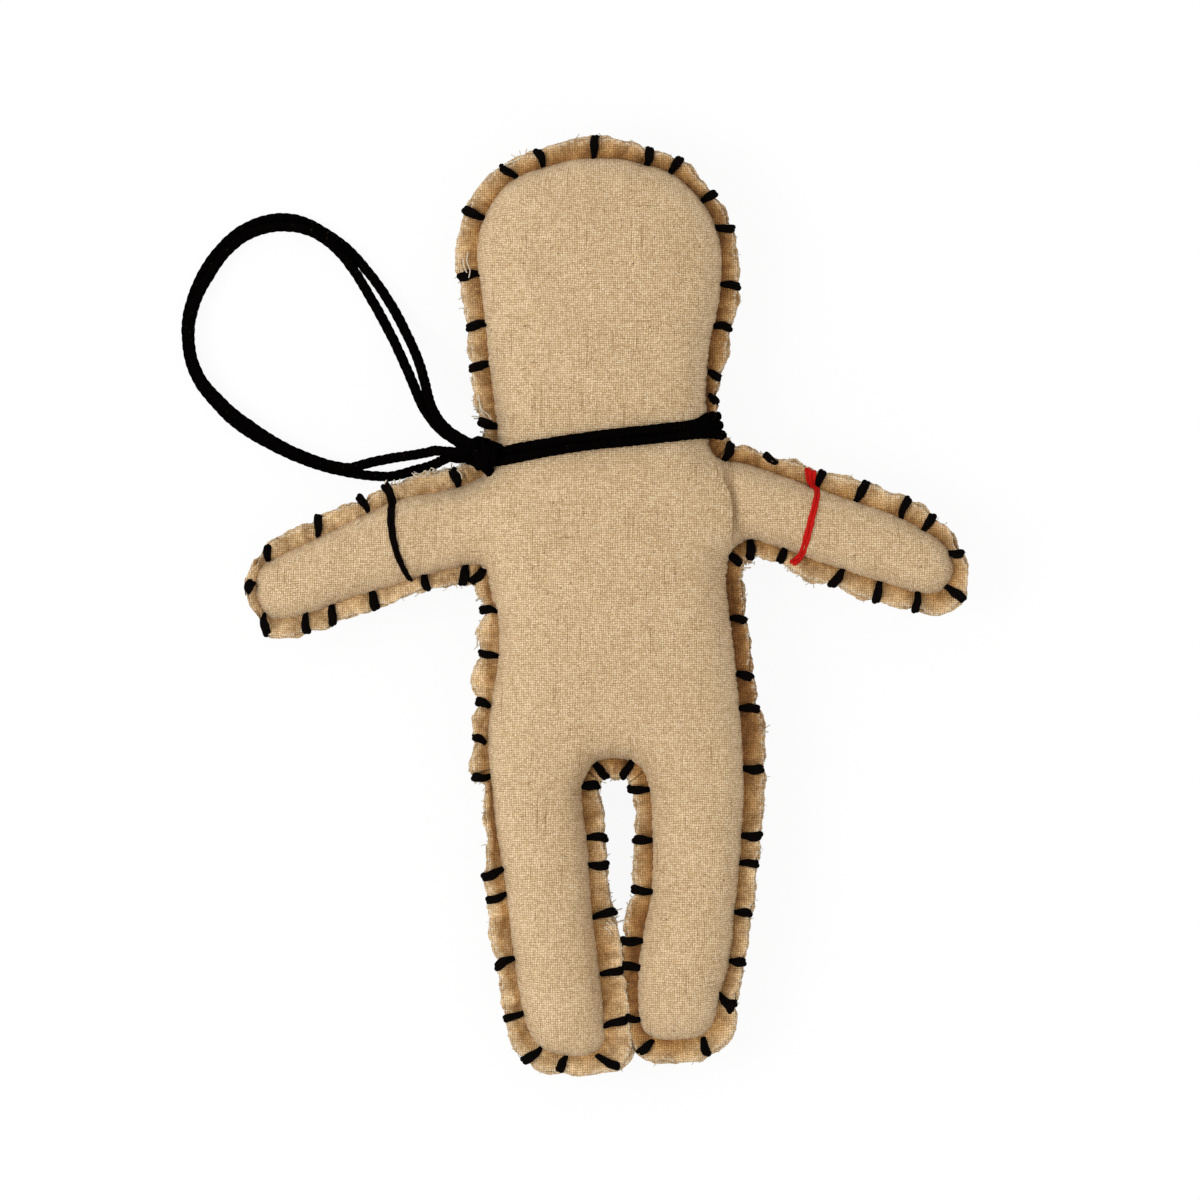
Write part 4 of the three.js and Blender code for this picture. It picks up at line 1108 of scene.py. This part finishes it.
for index, body in enumerate(bodies):
    points, quads, uvs, shares, shades, lengths, base = [], [], [], [], [], [], 0
    for run in runsOf(seamRegion == index):
        for layer in layers:
            sheet, sheetFaces = thickSheet(layer[run], border["clothThickness"])
            flatUv = np.tile(layer[run][..., :2].reshape(-1, 2), (2, 1))
            points.append(sheet), quads.append(sheetFaces + base), uvs.append(flatUv)
            shares.append(np.tile(across, len(run) * 2))
            shades.append(np.tile((across + paler[run][:, None] - ridge[run]).ravel(), 2))
            lengths.append(np.tile(np.repeat(seamLength[run], border["columns"]), 2))
            base += len(sheet)
    piece = makeMesh(f"{body}_border", np.vstack(points), np.vstack(quads), linenEdge,
                     uv=np.vstack(uvs), across=np.concatenate(shares), shade=np.concatenate(shades),
                     along=np.concatenate(lengths))
    declareBending(piece, body)
print("raw edges made")


# Whip stitching: one doubled yarn for each body, up at the seam, over the raw edge and back under
whip = {
    "plies": 2, "plyRadius": 0.53, "offset": 0.30, "sway": 0.42, "uneven": 0.12, "step": 0.22,
    "rise": 0.42,             # of the yarn's middle over the cloth
    "beyond": -0.34,          # of the turn past the raw edge
    "lean": 0.3, "bow": 0.3,
    "full": 1.1, "thin": 0.66,                   # shares of the thickness over the cloth and in the seam
    "upon": (0.06, 0.30, 0.58, 0.84),            # places over the cloth, as shares of the way to the edge
    "farthest": 26,           # stitches that lie further apart aren't joined behind
}
stitchNodes = {
    "head": ["head_stitches"],
    "torso": ["torso_left_stitches", "torso_right_stitches"],
    "left_arm": ["left_arm_stitches"],
    "right_arm": ["right_arm_stitches"],
    "left_leg": ["left_leg_stitches", "left_leg_inner_stitches"],
    "right_leg": ["right_leg_stitches", "right_leg_inner_stitches"],
}


def borderHeights(index, places, shares):
    # heights of the border's upper and lower faces at places in the plane, or at the same share of
    # the way across from the nearest seam point where a place is off the cloth
    column = np.array(shares) * (border["columns"] - 1)
    heights = []
    for layer, tree, down in zip(layers, borderTrees, (-1, 1)):
        found = np.interp(column, np.arange(border["columns"]), layer[index, :, 2])
        for i, (x, y) in enumerate(places):
            hit = tree.ray_cast(Vector((x, y, -40 * down)), Vector((0, 0, down)))[0]
            found[i] = hit.z if hit else found[i]
        heights.append(found - down * border["clothThickness"] / 2)
    return heights


def stitchRoute(pairs):
    # rows of a place, of the lean that says which way the two strands lie side by side there (along
    # the seam over the edge, and across it in the run behind to the next stitch), and of a share of
    # the yarn's thickness, which is less where it is drawn into the seam
    indices = nearestOn(fineSeam, pairs[:, 0])[0]
    order = np.argsort(indices)
    rise, lean, thin = whip["rise"], whip["lean"], whip["thin"]
    bowed = np.random.default_rng(len(pairs))
    route, pieces = [], []
    for n, k in enumerate(order):
        (inner, outer), index = pairs[k], indices[k]
        d = (outer - inner) / np.linalg.norm(outer - inner)
        alongSeam = [-d[1] * lean, d[0] * lean, 0]
        acrossSeam = [*(d * lean), 0]
        beyond = outer + d * whip["beyond"]
        bow = np.array([-d[1], d[0]]) * whip["bow"] * bowed.uniform(-1, 1)
        shares = np.array(whip["upon"])
        upon = inner + (beyond - inner) * shares[:, None] + bow * np.sin(np.pi * shares)[:, None]
        top, bottom = borderHeights(index, [*upon, beyond - 0.3 * d], [*shares, 0.95])
        middle = (top[4] + bottom[4]) / 2
        # up through the cloth, over it, round the raw edge and back under it
        places = [(inner - 0.1 * d, bottom[0] - 0.3), (upon[0], top[0] + 0.25),
                  (upon[1], top[1] + rise + 0.15), (upon[2], top[2] + rise + 0.1),
                  (upon[3], top[3] + rise - 0.05), (beyond, middle + 0.32),
                  (beyond, middle - 0.32), (upon[3], bottom[3] - rise), (upon[1], bottom[1] - rise)]
        full = whip["full"] * bowed.uniform(0.86, 1.06)
        shares = [thin, thin, (thin + full) / 2, full, full, full, full, full, thin]
        rows = [[*place, z, *alongSeam, share] for (place, z), share in zip(places, shares)]
        following = order[n + 1] if n + 1 < len(order) else None
        near = following is not None and np.linalg.norm(pairs[following][0] - inner) < whip["farthest"]
        if near:
            nextInner = pairs[following][0]
            nextBottom = borderHeights(indices[following], [nextInner + d * 0.2], [0.1])[1][0]
            halfway = (inner + nextInner) / 2 + d * 1.2
            rows.append([*halfway, (bottom[1] + nextBottom) / 2 - rise, *acrossSeam, 1.0])
            rows.append([*(nextInner + d * 0.2), nextBottom - rise, *acrossSeam, thin])
        route += rows
        if not near:
            pieces.append(np.array(route))
            route = []
    return pieces


for body, pairs in stitches.items():
    tubes = []
    for route in stitchRoute(pairs):
        fine = smoothThrough(route, whip["step"])
        tubes.append(plied(fine[:, :3], whip, 8, fine[:, 3:6], fine[:, 6]))
    piece = tubePiece(f"{body}_whip_stitches", joined(tubes), blackYarn)
    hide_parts(*stitchNodes[body])
    declareBending(piece, body)
print("whip stitching made:", len(allStitches), "stitches")


def onCloth(x, y, front=True):
    # height of the stuffed cloth's front or back face over a place
    start, down = ((x, y, 60), (0, 0, -1)) if front else ((x, y, -30), (0, 0, 1))
    hit = clothTree.ray_cast(Vector(start), Vector(down))[0]
    return hit.z if hit else midHeight


# Threads wound once round the arms. Each has its front places in pixels, from the upper edge to the
# lower one, and its share of the thickness at the lower and at the upper end; the red one also has a
# short end.
armThreads = {
    "right_arm": {
        "node": "right_arm_thread", "finish": brownBlackYarn, "slot": "black_yarn",
        "plies": 2, "plyRadius": 0.38, "offset": 0.31, "sway": 0.5, "uneven": 0.10, "shares": (0.78, 1.35),
        "pixels": [(386, 487), (390, 494), (392.5, 503), (391.5, 512), (391.5, 522), (393.5, 538),
                   (398, 555), (403.5, 568), (410, 579.5)]},
    "left_arm": {
        "node": "left_arm_thread", "finish": redYarn, "slot": "red_yarn",
        "plies": 2, "plyRadius": 0.34, "offset": 0.30, "sway": 0.25, "uneven": 0.08, "shares": (1.15, 0.92),
        "short": [(812.6, 470.5), (813, 476), (813.6, 483)],
        "pixels": [(807.5, 469.5), (808, 475), (809.4, 481), (813, 485.5), (816.8, 490), (815.4, 502),
                   (811, 519.5), (806.6, 537), (802, 553), (797.5, 559.5), (793, 562.5)]},
}


def alongCloth(places, lift, front=True):
    # a thread's centre line over or under the cloth and the border
    route = []
    for (x, y), index in zip(places, nearestOn(fineSeam, places)[0]):
        high, low = borderHeights(index, [(x, y)], [0.9])
        if front:
            route.append([x, y, max(onCloth(x, y), high[0]) + lift])
        else:
            route.append([x, y, min(onCloth(x, y, False), low[0]) - lift])
    return route


def armThreadRoute(thread):
    # along the front over the cloth, through the lower seam, and back along the rear
    front = fromPhoto(thread["pixels"])
    lift = thread["plyRadius"] * 0.9
    over, under = alongCloth(front, lift), alongCloth(front, lift, False)[::-1]
    top = front[0] + (front[0] - front[1]) * 0.2
    return np.array([*over, [*front[-1], midHeight], *under,
                     [*top, midHeight - 0.4], [*top, midHeight + 0.6], over[0]])


for body, thread in armThreads.items():
    path = smoothThrough(armThreadRoute(thread), 0.25)
    upper, lower = fromPhoto(thread["pixels"])[[0, -1]]
    # its plies lie side by side along the arm
    alongArm = np.tile([*((lower - upper) @ [[0, 1], [-1, 0]]), 0.0], (len(path), 1))
    share = np.interp(path[:, 1], (lower[1], upper[1]), thread["shares"])
    parts = [plied(path, thread, 8, alongArm, share)]
    if "short" in thread:
        path = smoothThrough(alongCloth(fromPhoto(thread["short"]), thread["plyRadius"]), 0.25)
        parts.append(plied(path, thread, 8, alongArm[:len(path)]))
    piece = tubePiece(f"{body}_wound_thread", joined(parts), thread["finish"])
    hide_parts(thread["node"])
    declareBending(piece, body)
print("arm threads made")


# Neck tie: two strands side by side round the neck, and a short turn between them over the border at
# the doll's left. Each has its front places in pixels, the last two over the border and past its edge.
tie = [
    [(484, 448), (499, 452), (515, 449), (540, 444.8), (570, 440), (600, 435.8), (635, 432),
     (665, 428.6), (688, 426), (699, 423), (709, 417.5), (716, 416.5)],
    [(670, 433.5), (680, 432), (690, 430.5), (700, 428.5), (710, 426), (718, 425.5)],
    [(484, 458), (499, 461.5), (515, 458.5), (540, 453.5), (570, 448.5), (600, 444.5), (635, 441.2),
     (665, 438), (688, 435.3), (702, 434), (712, 434), (721, 435)],
]


def tieRoute(pixels):
    front = fromPhoto(pixels)
    lift = cordLook["diameter"] / 2 - 0.25
    over = [[x, y, onCloth(x, y) + lift] for x, y in front[1:-2]]
    under = [[x, y, max(onCloth(x, y, False) - lift, 1.2)] for x, y in front[-3:0:-1]]
    left, right = front[0], front[-1]
    # round the border, above and below the seam plane
    turn = [[*front[-2], midHeight + 2.6], [*right, midHeight + 1.0], [*right, midHeight - 1.0],
            [*front[-2], midHeight - 3.0]]
    if len(front) < 8:
        # the short turn starts and ends inside the strands that it lies on
        over = [[x, y, z + 0.55 - 0.9 * (k == 0)] for k, (x, y, z) in enumerate(over)]
        return np.array([*over, *turn, *under[:2]])
    return np.array([[*left, midHeight + 4.6], *over, *turn, *under, [*left, midHeight - 2.4],
                     [left[0] - 1.4, left[1], midHeight + 0.2]])


tubes = [plied(smoothThrough(tieRoute(pixels), cordLook["step"]), cordLook) for pixels in tie]
piece = tubePiece("neck_tie", joined(tubes), blackCord)
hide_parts("neck_cord")
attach(piece, "torso")
print("neck tie made")


# The knot: the loop's four strand ends run in from the doll's right, two close turns hold them, one
# strand leaves to the tie and one short end points down. Places in pixels, heights above the seam
# plane in millimetres.
knotStrands = [
    [(451, 432.4, 7.9), (458, 437, 8.2), (467, 442, 8.2), (478, 448, 7.4), (488, 454, 5.6)],
    [(445.2, 434, 4.7), (456, 441, 5.6), (468, 448, 6.4), (480, 455, 6.2), (489, 460, 4.4)],
    [(445.2, 451.8, 6.8), (456, 452.4, 7.3), (468, 451, 7.6), (480, 449, 7.2), (490, 449, 5.4)],
    [(448.9, 457, 3.6), (458, 458.5, 4.6), (469, 457.5, 5.4), (480, 457, 5.6), (489, 458, 4.0)],
    [(477, 441, 1.0), (481, 442, 5.0), (485, 448, 8.2), (486, 456, 8.6), (483, 463, 6.8), (478, 466, 3.4)],
    [(485, 443, 1.0), (488, 444, 4.6), (492, 450, 7.2), (493, 457, 7.6), (490, 464, 6.0), (485, 467, 3.0)],
    [(471, 443, 3.4), (474, 445, 6.4), (477, 451, 8.2), (479, 458, 8.2), (484, 465, 6.8), (489, 471, 5.0),
     (491, 474, 3.4)],
    [(468, 459, 3.2), (474, 461.5, 5.4), (482, 465.5, 5.8), (488, 470, 4.4), (491, 473, 3.0)],
    [(476, 442, 5.2), (484, 443, 5.6), (492, 446, 5.0), (503, 450, 3.6)],
]
tubes = []
for strand in knotStrands:
    places = np.array(strand)
    route = np.column_stack([fromPhoto(places[:, :2]), midHeight + places[:, 2]])
    tubes.append(plied(smoothThrough(route, cordLook["step"]), cordLook))
piece = tubePiece("pulled_knot", joined(tubes), blackCord)
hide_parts("neck_knot")
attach(piece, "torso")
print("knot made")


# Frayed threads along the raw edges, thickest in the busy places (pixels, reach in millimetres, times)
frays = {
    "perMillimetre": 0.50, "radius": 0.060, "shortest": 0.30, "longest": 1.2, "steps": 5,
    "busy": [((440, 472), 5.5, 9.0), ((412, 476), 4.5, 7.0), ((462, 464), 3.0, 9.0),
             ((806, 577), 3.5, 4.0), ((748, 562), 2.5, 4.0), ((478, 412), 3.0, 5.0),
             ((480, 622), 5.0, 3.0), ((602, 790), 3.0, 3.0), ((616, 905), 3.0, 4.0),
             ((478, 800), 8.0, 2.0), ((520, 158), 5.0, 2.0), ((745, 735), 5.0, 2.0),
             ((465, 300), 6.0, 2.0)],
    # single longer threads: the body that each belongs to, its height above the seam, its way in pixels
    "looseRadius": 0.11,
    "loose": [
        ("head", 2.0, [(479, 396), (480, 404), (483, 411), (488, 414.5), (491.5, 420)]),
        ("head", 1.8, [(480, 402), (481, 410), (485, 417), (490, 421.5)]),
        ("head", 1.6, [(468, 252), (467, 262), (470, 270), (469, 278)]),
        ("head", 1.6, [(463, 258), (464, 266), (467, 273)]),
        ("head", 1.7, [(503, 166), (512, 162), (520, 159)]),
        ("head", 1.7, [(636, 146), (645, 149), (653, 155)]),
        ("right_arm", 1.5, [(412, 473), (416, 476.5), (420, 477)]),
        ("right_arm", 1.5, [(424, 477), (427, 473.5), (430, 474.5)]),
        ("right_arm", 1.7, [(434, 473), (438, 470.5), (443, 470)]),
        ("right_arm", 1.6, [(458, 468), (460, 464), (463, 461.5)]),
        ("right_arm", 1.8, [(457, 470), (461, 474), (462, 479)]),
        ("right_leg", 1.4, [(606, 922), (611, 925), (616, 924)]),
        ("right_leg", 1.4, [(604, 927), (609, 930), (611, 935)]),
        ("right_leg", 1.2, [(488, 790), (490, 798), (489, 806)]),
    ],
}


def frayedThreads(body, count):
    # each one leaves the upper or lower cloth at its raw edge and wanders a little way off
    random = np.random.default_rng(7 + count)
    where = np.flatnonzero(seamRegion == count)
    chance = np.full(len(where), frays["perMillimetre"] * panel["fineSpacing"])
    for pixels, reach, times in frays["busy"]:
        gap = np.linalg.norm(edge[where] - fromPhoto(pixels), axis=1)
        chance *= 1 + (times - 1) * np.exp(-(gap / reach) ** 2)
    thick = dict(zip(where.tolist(), np.clip(chance / chance.min(), 1, 2.2) ** 0.75))
    tubes = []
    for owner, up, pixels in frays["loose"]:
        if owner == body:
            route = np.column_stack([fromPhoto(pixels), np.full(len(pixels), midHeight + up)])
            tubes.append(tube(smoothThrough(route, 0.2), frays["looseRadius"], 5))
    for index in where[random.random(len(where)) < chance].tolist():
        start = layers[random.integers(2)][index, -1]
        away = np.array([*(start[:2] - fineSeam[index]), 0.0])
        heading = away / np.linalg.norm(away) + random.normal(0, [0.7, 0.7, 0.45])
        length = frays["shortest"] + (frays["longest"] - frays["shortest"]) * random.random() ** 2.2
        length = length * thick[index]
        path = [start - 0.15 * heading]
        for _ in range(frays["steps"]):
            heading = heading + random.normal(0, 0.32, 3)
            path.append(path[-1] + heading / np.linalg.norm(heading) * length / frays["steps"])
        tubes.append(tube(np.array(path), frays["radius"] * random.uniform(0.7, 1.5) * thick[index], 4))
    threads = tubePiece(f"{body}_frayed_threads", joined(tubes), paleThread)
    declareBending(threads, body)
    return len(tubes)


print("frayed threads:", sum(frayedThreads(body, index) for index, body in enumerate(bodies)))


# Floor and light
studio = {
    "floor": 0.86, "seenFloor": 0.92,            # the floor's tone, and how white the camera sees it
    "floorReach": 2000.0, "floorHeight": -0.02,  # in millimetres
    "ambient": 0.945, "key": 3.76, "keySize": 0.5, "keyPlace": (-0.62, -0.05, 0.75),
}


def whiteFloor():
    finish = Finish("Floor", (studio["floor"],) * 3, 0.9)
    rays = finish.node("ShaderNodeLightPath")
    seen = Number(finish, rays.outputs["Is Camera Ray"]) + Number(finish, rays.outputs["Is Glossy Ray"])
    white = finish.node("ShaderNodeEmission", None, {"Color": (1, 1, 1, 1), "Strength": 1.0})
    mix = finish.node("ShaderNodeMixShader", None, {0: seen.clipped(0, 1) * studio["seenFloor"]})
    finish.feed(mix.inputs[1], finish.shader.outputs[0])
    finish.feed(mix.inputs[2], white.outputs[0])
    finish.feed(finish.tree.nodes["Material Output"].inputs[0], mix.outputs[0])
    reach = studio["floorReach"]
    corners = [(-reach, -reach), (reach, -reach), (reach, reach), (-reach, reach)]
    points = [(x, y, studio["floorHeight"]) for x, y in corners]
    floor = makeMesh("floor", points, [[0, 1, 2, 3]], finish.material)


def lights():
    world = bpy.data.worlds.new("Studio")
    bpy.context.scene.world = world
    world.use_nodes = True
    background = world.node_tree.nodes["Background"]
    background.inputs["Color"].default_value = (1, 1, 1, 1)
    background.inputs["Strength"].default_value = studio["ambient"]
    data = bpy.data.lights.new("Key", "AREA")
    data.shape = "DISK"
    data.size = studio["keySize"]
    data.energy = studio["key"]
    key = bpy.data.objects.new("Key", data)
    key.location = studio["keyPlace"]
    key.rotation_euler = (Vector((0, 0, 0.01)) - key.location).to_track_quat("-Z", "Y").to_euler()
    bpy.context.scene.collection.objects.link(key)


whiteFloor()
lights()
bpy.context.scene.view_settings.view_transform = "Standard"
print("studio made")
